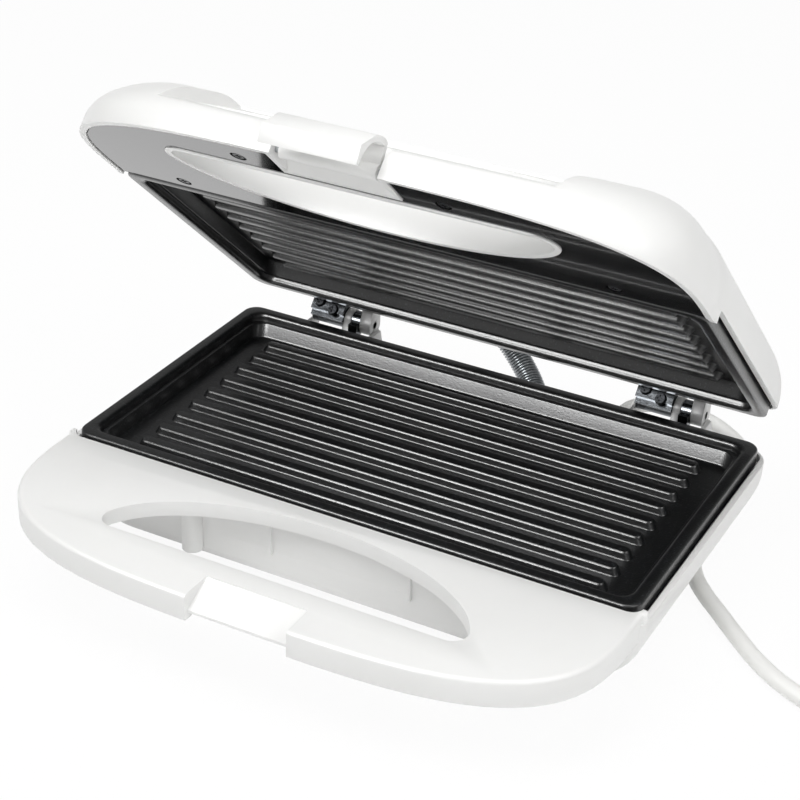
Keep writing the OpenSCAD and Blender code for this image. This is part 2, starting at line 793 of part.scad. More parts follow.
function run_lengths(p, i = 1, sum = 0, out = [0]) =
    i >= len(p) ? out :
    let (s = sum + norm(p[i] - p[i - 1])) run_lengths(p, i + 1, s, concat(out, [s]));
function span_at(lengths, s, i = 0) =
    i >= len(lengths) - 2 || lengths[i + 1] >= s ? i : span_at(lengths, s, i + 1);
function point_at(p, lengths, s) =
    let (i = span_at(lengths, s), f = (s - lengths[i]) / (lengths[i + 1] - lengths[i]))
    p[i] + (p[i + 1] - p[i]) * f;
function heading_at(p, lengths, s) =
    unit(point_at(p, lengths, s + 1.5) - point_at(p, lengths, s - 1.5));

// The curls: a wire wound round the conduit's centre line.
curl_r = conduit_r - wire_r;
curl_rings = 8;
conduit_runs = run_lengths(conduit_pts);
conduit_len = conduit_runs[len(conduit_runs) - 1];
curls = floor((conduit_len - 4 * wire_r) / wire_pitch);
curl_pts = [for (i = [0:curls * curl_rings])
    let (s = 2 * wire_r + i * wire_pitch / curl_rings,
        dir = heading_at(conduit_pts, conduit_runs, s),
        side = unit(cross(dir, [0.8, 0, 0.6])),
        rise = cross(side, dir),
        a = 360 * i / curl_rings)
    point_at(conduit_pts, conduit_runs, s) + curl_r * (cos(a) * side + sin(a) * rise)];

// Least gap of a wound tube to itself, from points more than half a turn apart.
function least_gap(p, r, skip, reach) =
    min([for (i = [0:len(p) - 1 - skip]) for (j = [i + skip:min(i + reach, len(p) - 1)]) norm(p[i] - p[j])]) - 2 * r;

module conduit_spring() color("#55585c") {
    echo(conduit_wire_gap = least_gap(curl_pts, wire_r, 5, 12));
    translate([0, hinge_y, hinge_z])
        tube(curl_pts, wire_r, 6);
}

module conduit_sleeve() color("#2a2a2a")
    translate([0, hinge_y, hinge_z])
        tube([for (i = [0:2:len(conduit_pts) - 1]) conduit_pts[i]], conduit_r - 2 * wire_r - 0.4, 10);

// ---- Mains cord ----

module strain_relief() color("whitesmoke")
    translate([exit_x, shell_y1, exit_z])
        rotate([-90, 0, 0])
        rotate_extrude($fn = 48)
        polygon([[0, -wall - 1.5], [7.5, -wall - 1.5], [7.5, -wall], [5.9, -wall], [5.9, 0], [7, 0], [7, 2],
            [5.6, 3], [cord_d / 2 + 0.9, relief_len], [0, relief_len]]);

// Route of the free cord: out of the strain relief, down and round behind the housing, then out to the coil
cord_route = [[46, 107.8, 17], [46, 114.3, 17], [48, 125, 16.3], [54, 134, 14.5], [63, 140, 12], [74, 142.3, 9.2],
    [85, 140.2, 6.5], [94, 134, 4.5], [100, 125, 3.5], [102, 114, 3.4], [102, 100, 3.4], [102, 85, 3.4],
    [102, 70, 3.4], [103, 57, 3.4], [105.5, 46, 3.4], [110, 36, 3.4], [117, 27, 3.4], [126, 18, 3.4], [137, 7, 3.4],
    [149, -4, 3.4], [162, -12.5, 3.4], [177, -18.5, 3.4], [193, -20.8, 3.4], [206, -21, 3.4],
    [208, -21, 3.4]];

// The coil: in on the table for one turn, up in half a turn, out on top for three quarters.
coil_centre = [208, 18];
coil_out = 39;
coil_in = 31.2;
coil_rise = 7.8;
loop_rings = 24;
coil_turns = 2.25;
function coil_radius(t) =
    t < 1 ? coil_out - (coil_out - coil_in) * t :
    t < 1.5 ? coil_in : coil_in + (coil_out - coil_in) * (t - 1.5);
function coil_height(t) = 3.4 + coil_rise * min(max(2 * (t - 1), 0), 1);
coil_pts = [for (i = [0:loop_rings * coil_turns])
    let (t = i / loop_rings, a = -90 + 360 * t, r = coil_radius(t))
    [coil_centre[0] + r * cos(a), coil_centre[1] + r * sin(a), coil_height(t)]];
coil_end = coil_pts[len(coil_pts) - 1];

module power_cord() color("whitesmoke") tube(cord_route, cord_d / 2, 8);

module cord_coil() color("whitesmoke") {
    echo(coil_gap = least_gap(coil_pts, cord_d / 2, 14, 40));
    tube(concat([[208.02, -21, 3.4], [210, -21, 3.4]], [for (i = [1:len(coil_pts) - 1]) coil_pts[i]],
        [for (p = [[8, 0.9], [20, 3.4], [32, 6.6], [40, 7.8], [47, 7.8]]) coil_end + [0, p[0], p[1]]]), cord_d / 2, 6);
}

plug_r = 19;
plug_y = coil_end[1] + 47.05;

module plug_body() color("whitesmoke")
    translate([coil_end[0], plug_y, plug_r])
        rotate([-90, 0, 0])
        rotate_extrude($fn = 64)
        polygon([[0, 0], [cord_d / 2 + 1.2, 0], [8, 12], [10.5, 22], [12, 27], [17.5, 31], [plug_r - 0.05, 34],
            [plug_r - 0.05, 41], [plug_r - 1.5, 42.5], [0, 42.5]]);

module plug_pins() color("silver")
    translate([coil_end[0], plug_y + 42.5, plug_r])
        for (x = [-9.5, 9.5])
            translate([x, 0, 0])
                rotate([-90, 0, 0])
                rotate_extrude($fn = 32)
                polygon([[0, 0], [2.4, 0], [2.4, 17.5], [1.4, 19], [0, 19]]);

// ---- Lid ----

// Everything above the sunken top of the grip.
module sunken_top(drop) {
    half = hole_w / 2 + drop;
    lip = lid_rim + lip_h - drop;
    translate([-half, 0, 0])
        rotate([90, 0, 90])
        linear_extrude(2 * half)
        polygon([[grip_y0 - 5, lip - 1.75], [plate_y0 - 6, lip + 0.35 * (grip_reach - 6)],
            [plate_y0 - 6, lip + 60], [grip_y0 - 5, lip + 60]]);
}

module lid_shell_shut() {
    foot = lid_rim;
    difference() {
        union() {
            lid_form(0, foot);
            outlet_pad(-conduit_x, hinge_z + conduit_z);
        }
        sunken_top(0);
        difference() {
            lid_form(wall, foot - 1);
            sunken_top(wall);
            translate([0, 0, foot - 2])
                linear_extrude(lid_h + 5)
                hand_hole(wall, lid_trim);
            latch_housing(wall);
        }
        // hand hole
        translate([0, 0, foot - 2])
            linear_extrude(lid_h + 5)
            hand_hole(0, lid_trim);
        latch_housing(0);
        translate([0, latch_y, latch_z])
            rod_x(-notch_w / 2 - 1.6, notch_w / 2 + 1.6, latch_pin_r + 0.1, 20);
        // side and back walls end above the rim
        translate([-shell_w, plate_y0 + 3, foot - 1])
            cube([2 * shell_w, 2 * plate_d, edge_step + 1]);
        // room for the plate's rear corners
        translate([0, 0, foot - 1])
            linear_extrude(plate_skirt_h + 2.5)
            intersection() {
                plate_outline(plate_w + 2 * plate_clear - 0.3, plate_d + 2 * plate_clear - 0.3, plate_corner);
                translate([-shell_w, plate_yc])
                    square([2 * shell_w, plate_d]);
            }
        outlet_bore(-conduit_x, hinge_z + conduit_z, conduit_r + 1.5, conduit_r + 2.7);
        // holes for the leaves' screws
        at_hinges()
            for (x = [2.7, high_leaf_w - 2.7])
                translate([leaf_x + x, 0, 12.8])
                    rod_y(arm_y - wall - 3, arm_y + 1, screw_r + 0.2, 16);
        // lamp windows
        for (x = [-1, 1])
            translate([x * lamp_x, lamp_y, lid_top - wall - 2])
                cylinder(h = wall + 4, r = lamp_r + 0.15, $fn = 32);
    }
    // towers that hold the plate by its heat shield
    difference() {
        at_bosses()
            translate([0, 0, lid_rim + reflector_drop])
            cylinder(h = lid_h - reflector_drop - wall / 2, r = tower_r, $fn = 24);
        at_bosses()
            translate([0, 0, lid_rim + reflector_drop - 1])
            cylinder(h = 4, r = 3.6, $fn = 20);
    }
    // ears of the two hinges
    at_hinges()
        ear(lid_ear_x, lid_ear_end, lid_rim + edge_step - hinge_z, 16);
    // posts for the panel's screws
    difference() {
        intersection() {
            at_panel_screws()
                translate([0, 0, panel_z + panel_t])
                cylinder(h = lid_h, r = 3.4, $fn = 24);
            difference() {
                lid_form(wall / 2, foot);
                sunken_top(wall / 2);
            }
        }
        at_panel_screws()
            translate([0, 0, foot])
            cylinder(h = 9.5, r = screw_r + run_clear, $fn = 24);
    }
}

// The pocket in the lid's front for the latch, with a sloping back; grow gives the walls round it.
module latch_housing(grow) {
    back = notch_y - 4.2 + grow * 0.65;
    translate([-notch_w / 2 - grow, 0, 0])
        rotate([90, 0, 90])
        linear_extrude(notch_w + 2 * grow)
        polygon([[grip_y0 - 10, lid_rim - 5], [back + 13.5, lid_rim - 5], [back, lid_rim + 5 + grow / 2],
            [back, lid_rim + 30], [grip_y0 - 10, lid_rim + 30]]);
}

panel_z = lid_rim + 0.4;
panel_t = 2;
lamp_x = 12;
lamp_y = plate_yc;
lamp_r = 4;

module at_panel_screws() {
    for (x = [-1, 1]) {
        translate([x * 38.5, hole_front - 8, 0])
            children();
        translate([x * (half_w - 34.5), plate_y0 - 6.5, 0])
            children();
    }
}

module lid_shell() color("whitesmoke") as_opened() resize([0, 0, 0]) lid_shell_shut();

module lid_panel() color("#101012") as_opened()
    difference() {
        translate([0, 0, 0])
            ring_body([for (z = [panel_z, panel_z + panel_t])
                [for (p = concat(grip_half_line(wall + seam, wall + seam),
                    [[grip_half - wall - seam, plate_y0 - 0.6], [grip_half - wall - seam - 1, plate_y0 - 0.5]]))
                    [p[0], p[1], z]]]);
        translate([0, 0, panel_z - 1])
            linear_extrude(panel_t + 2)
            hand_hole(wall + seam, lid_trim);
        translate([0, grip_y0 - 1, panel_z - 1])
            linear_extrude(panel_t + 2)
            translate([-notch_w / 2 - wall - seam, 0])
            square([notch_w + 2 * (wall + seam), notch_d + 5.6]);
        at_panel_screws() {
            translate([0, 0, panel_z - 1])
                cylinder(h = panel_t + 2, r = screw_r + 0.3, $fn = 24);
            translate([0, 0, panel_z - 0.1])
                cylinder(h = 1, r = 3, $fn = 32);
        }
    }

module panel_screws() color("#303236") as_opened()
    at_panel_screws()
        translate([0, 0, panel_z + 0.1])
        screw(8.5, 2.6, 0.78);

module lid_plate() color("#1c1f24") as_opened() as_lid_half() cooking_plate();

module lid_heater() color("dimgray") as_opened() as_lid_half() heater();

module lid_reflector() color("silver") as_opened() as_lid_half() reflector();

// Short screws that hold the lid's heat shield to its plate.
module reflector_screws() color("silver") as_opened() as_lid_half()
    at_bosses()
        translate([0, 0, rim_z - reflector_drop - 1.45])
        screw(7, 3, 1.4);

module thermostat() color("#d8cfc0") as_opened() as_lid_half()
    translate([0, plate_yc, rim_z - under_tub]) {
        translate([0, 0, -4.05])
            cylinder(h = 4, r = 7, $fn = 48);
        for (x = [-1, 1])
            translate([x * 5.5 - 1.5, -3, -5])
                cube([3, 6, 1.2]);
    }

module thermal_fuse() color("#c8a24a") as_opened() as_lid_half()
    translate([0, plate_yc - 16, rim_z - under_tub - 2.05]) {
        rod_x(-6, 6, 2);
        rod_x(-13, 13, 0.6);
    }

// Leads from the conduit's bush to the element and the lamps.
module lid_wiring() color("#b03a2e") as_opened() {
    pin_z = lid_rim + under_tub + heater_r + 0.05;
    top_z = lid_rim + 26;
    start = [-conduit_x, shell_y1 - wall - bush_collar - 0.05, hinge_z + conduit_z];
    for (k = [[-1.3, 1], [1.3, -1]])
        tube([start + [k[0], 0, 1], start + [k[0], -3, 1], [start[0] + k[0], plate_y1 - 10, top_z + 1.3],
            [lead_x + 12, plate_yc + k[1] * (pin_y - 7), top_z], [lead_x, plate_yc + k[1] * pin_y, top_z - 2],
            [lead_x, plate_yc + k[1] * pin_y, pin_z + 3], [lead_x + 3, plate_yc + k[1] * pin_y, pin_z],
            [pin_end, plate_yc + k[1] * pin_y, pin_z]], lead_r, 8);
    for (x = [-1, 1])
        tube([start + [x * 1.3, 0, -1.6], start + [x * 1.3, -3, -1.6],
            [start[0] + x * 1.3, plate_y1 - 10, top_z - 2.6], [x * lamp_x, lamp_y + 9, top_z - 2],
            [x * lamp_x, lamp_y, top_z - 0.5], [x * lamp_x, lamp_y, lid_top - wall - 1.25]], 0.8, 8);
}

module lamp(colour) {
    color(colour) {
        translate([0, 0, lid_top - wall])
            cylinder(h = wall + 0.8, r1 = lamp_r, r2 = lamp_r - 0.4, $fn = 32);
        translate([0, 0, lid_top - wall - 1.2])
            cylinder(h = 1.2, r = lamp_r + 1.2, $fn = 32);
    }
}

module power_lamp() as_opened() translate([-lamp_x, lamp_y, 0]) lamp("#c0281c");
module ready_lamp() as_opened() translate([lamp_x, lamp_y, 0]) lamp("#2f9e44");

// ---- Latch ----

// The latch in section as it lies when locked, y towards the back, the pin at the origin.
module locked_latch() {
    flange_z = catch_z - catch_clear;
    difference() {
        union() {
            intersection() {
                difference() {
                    translate([1.1, flange_z - latch_t + latch_r])
                        circle(latch_r, $fn = 96);
                    translate([1.1, flange_z - latch_t + latch_r])
                        circle(latch_r - latch_t, $fn = 96);
                }
                translate([-30, flange_z - 5])
                    square([29, 6 - flange_z]);
            }
            // hook under the catch
            translate([-4.4, flange_z - latch_t])
                square([4.2, latch_t]);
            // web from the curve to the barrel
            translate([-latch_r + 3.4, -1])
                square([latch_r - 3.4, latch_t]);
            circle(barrel_r, $fn = 48);
        }
        circle(latch_pin_r + run_clear, $fn = 48);
    }
}

module latch_clip() color("whitesmoke") as_opened()
    translate([0, latch_y, latch_z])
        rotate([90, 0, 90])
        translate([0, 0, -latch_w / 2])
        linear_extrude(latch_w)
        rotate(-latch_swing)
        locked_latch();

module latch_pin() color("silver") as_opened()
    translate([0, latch_y, latch_z])
        rod_x(-notch_w / 2 - 1.5, notch_w / 2 + 1.5, latch_pin_r);

base_shell();
base_plate();
base_heater();
base_reflector();
base_screws();
rubber_feet();
terminal_block();
base_wiring();
base_hinge_leaves();
base_hinge_screws();
hinge_pins();
base_grommet();
strain_relief();
power_cord();
cord_coil();
plug_body();
plug_pins();
lid_shell();
lid_panel();
panel_screws();
lid_plate();
lid_heater();
lid_reflector();
reflector_screws();
thermostat();
thermal_fuse();
lid_wiring();
power_lamp();
ready_lamp();
lid_hinge_leaves();
lid_hinge_screws();
lid_grommet();
conduit_spring();
conduit_sleeve();
latch_clip();
latch_pin();
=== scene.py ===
import math

import bmesh
import bpy
from mathutils import Matrix, Vector


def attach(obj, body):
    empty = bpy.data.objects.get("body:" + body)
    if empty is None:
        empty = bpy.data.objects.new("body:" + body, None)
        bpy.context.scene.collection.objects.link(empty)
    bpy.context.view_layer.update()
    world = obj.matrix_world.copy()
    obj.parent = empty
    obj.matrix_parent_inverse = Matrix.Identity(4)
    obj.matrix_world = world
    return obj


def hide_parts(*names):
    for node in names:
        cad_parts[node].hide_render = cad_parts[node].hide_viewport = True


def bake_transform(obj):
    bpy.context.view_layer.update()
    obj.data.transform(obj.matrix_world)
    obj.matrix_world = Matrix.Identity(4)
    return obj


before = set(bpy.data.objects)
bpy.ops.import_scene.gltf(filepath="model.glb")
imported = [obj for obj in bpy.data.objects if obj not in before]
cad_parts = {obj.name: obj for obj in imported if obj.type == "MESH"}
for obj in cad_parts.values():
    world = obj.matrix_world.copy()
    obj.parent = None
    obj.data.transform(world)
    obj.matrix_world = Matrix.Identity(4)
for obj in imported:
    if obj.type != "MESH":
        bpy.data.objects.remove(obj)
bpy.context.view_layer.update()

# ---- Camera ----
# The toaster is seen from above its right front corner, a little over half a metre away.
# The place and turn come from the corners of the two plate rims.


def new_object(name, data):
    """A new object in the scene, unturned and at the origin."""
    thing = bpy.data.objects.new(name, data)
    bpy.context.scene.collection.objects.link(thing)
    return thing


camera_data = bpy.data.cameras.new("Camera")
camera_data.lens = 87.87
camera_data.sensor_width = 36
camera = new_object("Camera", camera_data)
camera_spot = Vector((0.28878, -0.56408, 0.41956))
azimuth, elevation, roll = math.radians(27.11), math.radians(29.21), math.radians(2.06)
back = Vector((math.sin(azimuth) * math.cos(elevation), -math.cos(azimuth) * math.cos(elevation),
               math.sin(elevation)))
level = Vector((0, 0, 1)).cross(back).normalized()
upright = back.cross(level)
right = math.cos(roll) * level + math.sin(roll) * upright
up = -math.sin(roll) * level + math.cos(roll) * upright
camera.matrix_world = Matrix((
    (right.x, up.x, back.x, camera_spot.x),
    (right.y, up.y, back.y, camera_spot.y),
    (right.z, up.z, back.z, camera_spot.z),
    (0, 0, 0, 1)))
bpy.context.scene.camera = camera

# ---- Mains cord ----
# A round three-core cord in a soft white PVC sheath, 6.5 mm thick.
# It leaves the back wall, turns round on the table and ends in a loose coil with its plug.
cord_radius = 3.25
cord_route = [
    (46, 107.8, 17), (46, 114.3, 17), (48, 125, 16.3), (54, 134, 14.5), (63, 140, 12), (74, 142.3, 9.2),
    (85, 140.2, 6.5), (94, 134, 4.5), (100, 125, 3.5), (102, 114, 3.4), (102, 100, 3.4), (102, 85, 3.4),
    (102, 70, 3.4), (103, 57, 3.4), (105.5, 46, 3.4), (110, 36, 3.4), (117, 27, 3.4), (126, 18, 3.4),
    (137, 7, 3.4), (149, -4, 3.4), (162, -12.5, 3.4), (177, -18.5, 3.4), (193, -20.8, 3.4), (206, -21, 3.4)]
coil_x, coil_y, coil_radius, turn_gap, cord_lie = 208, 18, 31.2, 7.8, 3.4


def coil_point(turns):
    """A point on the coil's centre line, the given number of turns after its start."""
    radius = coil_radius + turn_gap * max(1 - turns, turns - 1.5, 0)
    height = cord_lie + turn_gap * min(max(2 * (turns - 1), 0), 1)
    turn = math.radians(-90 + 360 * turns)
    return (coil_x + radius * math.cos(turn), coil_y + radius * math.sin(turn), height)


coil_line = [coil_point(k / 24) for k in range(55)]
coil_exit = coil_line[-1]
tail = [(coil_exit[0], coil_exit[1] + step, coil_exit[2] + rise)
        for step, rise in ((8, 0.9), (20, 3.4), (32, 6.6), (40, 7.8), (47, 7.8))]
cord_line = cord_route + coil_line + tail


def linear(code):
    """An sRGB hex value as a linear colour."""
    parts = [int(code[k:k + 2], 16) / 255 for k in (1, 3, 5)]
    return tuple(p / 12.92 if p <= 0.04045 else ((p + 0.055) / 1.055) ** 2.4 for p in parts) + (1.0,)


def add_node(tree, kind, inputs=None, **settings):
    """Adds a node with its settings; an input is a value or another node's output."""
    node = tree.nodes.new(kind)
    for name, value in settings.items():
        setattr(node, name, value)
    for name, value in (inputs or {}).items():
        if isinstance(value, bpy.types.NodeSocket):
            tree.links.new(value, node.inputs[name])
        else:
            node.inputs[name].default_value = value
    return node


def start_finish(name):
    """A new material without its shader; returns it, its tree and its Object coordinates."""
    material = bpy.data.materials.new(name)
    material.use_nodes = True
    tree = material.node_tree
    tree.nodes.clear()
    return material, tree, add_node(tree, "ShaderNodeTexCoord").outputs["Object"]


# Plasticised PVC, extruded: a slightly waxy skin with faint lengthwise waviness and handling marks.
cord_sheath, tree, place = start_finish("extruded_pvc_sheath")
waviness = add_node(tree, "ShaderNodeTexNoise", {"Vector": place, "Scale": 220.0, "Detail": 2.0})
marks = add_node(tree, "ShaderNodeTexNoise", {"Vector": place, "Scale": 45.0, "Detail": 4.0})
tone = add_node(tree, "ShaderNodeMix", {0: marks.outputs["Fac"], 6: linear("#e9e9e6"), 7: linear("#f4f4f2")},
                data_type="RGBA")
shine = add_node(tree, "ShaderNodeMapRange", {"Value": marks.outputs["Fac"], "To Min": 0.36, "To Max": 0.5})
bump = add_node(tree, "ShaderNodeBump",
                {"Height": waviness.outputs["Fac"], "Strength": 0.08, "Distance": 0.0004})
surface = add_node(tree, "ShaderNodeBsdfPrincipled",
                   {"Base Color": tone.outputs[2], "Roughness": shine.outputs[0], "Normal": bump.outputs[0],
                    "IOR": 1.53})
add_node(tree, "ShaderNodeOutputMaterial", {"Surface": surface.outputs[0]})

cord_curve = bpy.data.curves.new("mains_cord", "CURVE")
cord_curve.dimensions = "3D"
cord_curve.bevel_depth = cord_radius / 1000
cord_curve.bevel_resolution = 5
cord_curve.use_fill_caps = True
spline = cord_curve.splines.new("BEZIER")
spline.bezier_points.add(len(cord_line) - 1)
for point, (x, y, z) in zip(spline.bezier_points, cord_line):
    point.co = (x / 1000, y / 1000, z / 1000)
    point.handle_left_type = point.handle_right_type = "AUTO"
spline.resolution_u = 6
mains_cord = new_object("mains_cord", cord_curve)
cord_curve.materials.append(cord_sheath)
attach(mains_cord, "base")
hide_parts("power_cord", "cord_coil")

# ---- Strain relief and plug ----
# Both are moulded on the cord in the same PVC: a ribbed sleeve where it leaves the back wall,
# and a round two-pin plug with a ribbed neck and a finger rim.


def mesh_piece(name, points, faces, material, smooth=35):
    """A piece from points in millimetres, with its faces turned outwards and its soft edges shaded smooth."""
    mesh = bpy.data.meshes.new(name)
    mesh.from_pydata([(x / 1000, y / 1000, z / 1000) for x, y, z in points], [], faces)
    work = bmesh.new()
    work.from_mesh(mesh)
    bmesh.ops.remove_doubles(work, verts=work.verts, dist=1e-7)
    bmesh.ops.recalc_face_normals(work, faces=work.faces)
    work.to_mesh(mesh)
    work.free()
    mesh.shade_smooth()
    mesh.set_sharp_from_angle(angle=math.radians(smooth))
    if material:
        mesh.materials.append(material)
    return new_object(name, mesh)


def ring_faces(rings, count):
    """The side faces that join rings of points, each ring with the given count."""
    return [(a + k, a + (k + 1) % count, a + count + (k + 1) % count, a + count + k)
            for a in range(0, (rings - 1) * count, count) for k in range(count)]


def turned_points(profile, centre, count=48):
    """Points and faces of a body turned about an axis along Y; profile is pairs of radius and distance."""
    points = []
    for radius, along in profile:
        for k in range(count):
            turn = 2 * math.pi * k / count
            points.append((centre[0] + radius * math.cos(turn), centre[1] + along,
                           centre[2] + radius * math.sin(turn)))
    ends = [tuple(range(count)), tuple((len(profile) - 1) * count + k for k in range(count))]
    return points, ring_faces(len(profile), count) + ends


relief_profile = [(7.4, -3.8), (7.4, -2.35), (5.85, -2.3), (5.85, 0.05), (6.6, 0.1), (7.0, 0.5), (7.0, 1.6),
                  (6.6, 2.1)]
for k in range(6):
    start, wide = 2.6 + 3.2 * k, 5.6 - 0.24 * k
    relief_profile += [(wide - 0.9, start), (wide - 0.9, start + 0.8), (wide - 0.25, start + 1.1),
                       (wide, start + 1.4), (wide, start + 2.3), (wide - 0.3, start + 2.7)]
relief_profile += [(4.1, 21.8), (3.5, 22.0)]
points, faces = turned_points(relief_profile, (46, 85.76, 17))
strain_sleeve = mesh_piece("strain_sleeve", points, faces, cord_sheath)
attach(strain_sleeve, "base")
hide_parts("strain_relief")

plug_start = (coil_exit[0], coil_exit[1] + 47.05, 19)
plug_profile = [(3.3, 0.0), (4.4, 0.0), (4.8, 0.4)]
for k in range(5):
    start, wide = 1.4 + 3.0 * k, 5.2 + 0.72 * k
    plug_profile += [(wide - 0.8, start), (wide - 0.8, start + 0.8), (wide, start + 1.2),
                     (wide + 0.4, start + 2.4)]
plug_profile += [(8.8, 17.5), (10.4, 22), (11.6, 26), (13.4, 28.6), (16.2, 30.2), (17.8, 31.2), (18.6, 32.4),
                 (18.95, 34), (18.6, 35), (18.3, 36), (18.6, 37), (18.95, 38), (18.95, 40.6), (18.6, 41.8),
                 (17.8, 42.4), (17.0, 42.5), (16.6, 42.5)]
points, faces = turned_points(plug_profile, plug_start, 72)
plug = mesh_piece("plug", points, faces, cord_sheath)
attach(plug, "base")
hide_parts("plug_body")

# Nickel-plated brass, turned: bright, with fine rings round the pin.
pin_finish, tree, place = start_finish("nickel_plated_brass")
rings = add_node(tree, "ShaderNodeTexWave",
                 {"Vector": place, "Scale": 600.0, "Distortion": 1.5}, bands_direction="Y")
smudges = add_node(tree, "ShaderNodeTexNoise", {"Vector": place, "Scale": 160.0})
shine = add_node(tree, "ShaderNodeMapRange",
                 {"Value": smudges.outputs["Fac"], "To Min": 0.12, "To Max": 0.26})
bump = add_node(tree, "ShaderNodeBump",
                {"Height": rings.outputs["Fac"], "Strength": 0.05, "Distance": 0.0001})
surface = add_node(tree, "ShaderNodeBsdfPrincipled",
                   {"Base Color": linear("#cfcbc2"), "Metallic": 1.0, "Roughness": shine.outputs[0],
                    "Normal": bump.outputs[0]})
add_node(tree, "ShaderNodeOutputMaterial", {"Surface": surface.outputs[0]})


def dress(node_name, material):
    """Gives a CAD node's object its material."""
    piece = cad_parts[node_name]
    piece.data.materials.clear()
    piece.data.materials.append(material)
    return piece


dress("plug_pins", pin_finish)

# ---- Lower housing ----
# One white ABS moulding: a bowl with rounded sides under the plate, and a flat grip in front with a
# D-shaped hand hole, a notch with a ramp for the latch, and hinge ears and cheeks on the back wall.
plate_y0, plate_y1 = -45.74, 82.26
plate_yc = (plate_y0 + plate_y1) / 2
shell_y0, shell_y1 = plate_y0 - 1.3, plate_y1 + 3.5
half_width, wall = 119.5, 2.3
rim_z, grip_top, grip_y0 = 40.0, 39.0, -115.24
hinge_y, hinge_z = 92.76, 39.7
cord_outlet, conduit_outlet, hinge_sides = (46, 17), (16, 20.7), (-75, 75)
hole_depth, room_x, room_y = 38.5, 117.05, 65.05

# ABS, injection moulded with a satin mould texture: soft highlights, a fine grain and faint flow clouds.
white_abs, tree, place = start_finish("satin_white_abs")
# the mould's spark texture is about 0.1 mm, drawn at 0.35 mm so that it shows
grain = add_node(tree, "ShaderNodeTexNoise", {"Vector": place, "Scale": 2800.0, "Detail": 1.0})
clouds = add_node(tree, "ShaderNodeTexNoise", {"Vector": place, "Scale": 26.0, "Detail": 3.0})
tone = add_node(tree, "ShaderNodeMix", {0: clouds.outputs["Fac"], 6: linear("#efefed"), 7: linear("#f5f5f4")},
                data_type="RGBA")
shine = add_node(tree, "ShaderNodeMapRange", {"Value": clouds.outputs["Fac"], "To Min": 0.33, "To Max": 0.43})
bump = add_node(tree, "ShaderNodeBump",
                {"Height": grain.outputs["Fac"], "Strength": 0.12, "Distance": 0.00012})
surface = add_node(tree, "ShaderNodeBsdfPrincipled",
                   {"Base Color": tone.outputs[2], "Roughness": shine.outputs[0], "Normal": bump.outputs[0],
                    "IOR": 1.54})
add_node(tree, "ShaderNodeOutputMaterial", {"Surface": surface.outputs[0]})


def grip_line(side, front):
    """Right half of the grip's outline in plan, front to side, moved in by side and front."""
    angles = [0.15, 0.6, 1.5, 2.7, 4, 6, 8.5, 11, 14.5] + list(range(18, 67, 4)) + [
        69.5, 73, 76.5, 80, 82.5, 84.5, 86, 87.3, 88.4, 89.2, 89.7, 90]
    power = 2 / 3.3
    return [((half_width - 1.3 - side) * math.sin(math.radians(a)) ** power,
             plate_y0 - (69.5 - front) * max(math.cos(math.radians(a)), 0) ** power) for a in angles]


def rear_line(side, rear, corner=12):
    """Right half of the back end in plan, side to back, with round corners."""
    return [(half_width - side - corner + corner * math.cos(math.radians(9 * k)),
             shell_y1 - rear - corner + corner * math.sin(math.radians(9 * k))) for k in range(11)]


def ring_body(rings):
    """Points and faces of a closed body through rings, each given as its right half, front to back."""
    points = []
    half = len(rings[0])
    count = 2 * half
    for ring in rings:
        points += list(ring) + [(-x, y, z) for x, y, z in reversed(ring)]
    faces = ring_faces(len(rings), count)
    for base in (0, (len(rings) - 1) * count):
        for k in range(half - 1):
            faces.append((base + k, base + k + 1, base + count - 2 - k, base + count - 1 - k))
    return points, faces


def bowl(inset, head_z):
    """The lower housing's bowl, or with an inset its hollow, up to the height head_z."""
    side, front, rear, rise = 28 - inset, 3.5 - inset, 13 - inset, 7.5
    rings = []
    for step in [-1] + list(range(0, 91, 5)):
        a = math.radians(max(step, 0))
        c = 1 - math.cos(a)
        x_in, y_front, y_rear = inset + side * c, inset + front * c, inset + rear * c
        front_line = [(half_width - x_in - 5 + 5 * math.cos(t),
                       shell_y0 - wall + y_front + 5 + 5 * math.sin(t))
                      for t in (math.radians(-90 + 11.25 * k) for k in range(9))]
        outline = front_line + [(half_width - x_in, plate_yc)] + rear_line(x_in, y_rear)
        z = head_z if step < 0 else rim_z - rise - (35.5 - inset - rise) * math.sin(a)
        rings.append([(x, y, z) for x, y in outline])
    return ring_body(rings)


def grip_slab():
    """The flat lower grip in the solid, with a rounded top edge."""
    levels = [(0.5, 28.5), (0.15, 28.65), (0, 29.0)]
    levels += [(1.5 * (1 - math.cos(math.radians(t))), 39 - 1.5 * (1 - math.sin(math.radians(t))))
               for t in (0, 15, 30, 45, 60, 75, 90)]
    return ring_body([[(x, y, z) for x, y in grip_line(e, e) + [
        (half_width - e, plate_y0 + 0.8), (half_width - e, shell_y0 + 4)]] for e, z in levels])


def grip_hollow():
    """The grip's hollow, open underneath."""
    return ring_body([[(x, y, z) for x, y in grip_line(wall, wall) + [
        (half_width - wall, shell_y0 + 1), (half_width - wall, shell_y0 + 2.6)]]
        for z in (27.5, grip_top - wall)])


def block(low, high):
    """Points and faces of a rectangular block."""
    points = [(x, y, z) for x in (low[0], high[0]) for y in (low[1], high[1]) for z in (low[2], high[2])]
    return points, [(0, 1, 3, 2), (4, 6, 7, 5), (0, 4, 5, 1), (2, 3, 7, 6), (0, 2, 6, 4), (1, 5, 7, 3)]


def prism(outline, axis, start, end):
    """Points and faces of an outline pulled along X, Y or Z; its pairs are places across that axis."""
    count = len(outline)
    points = [(at, u, v) if axis == "X" else (u, at, v) if axis == "Y" else (u, v, at)
              for at in (start, end) for u, v in outline]
    return points, [tuple(range(count)), tuple(range(count, 2 * count))] + ring_faces(2, count)


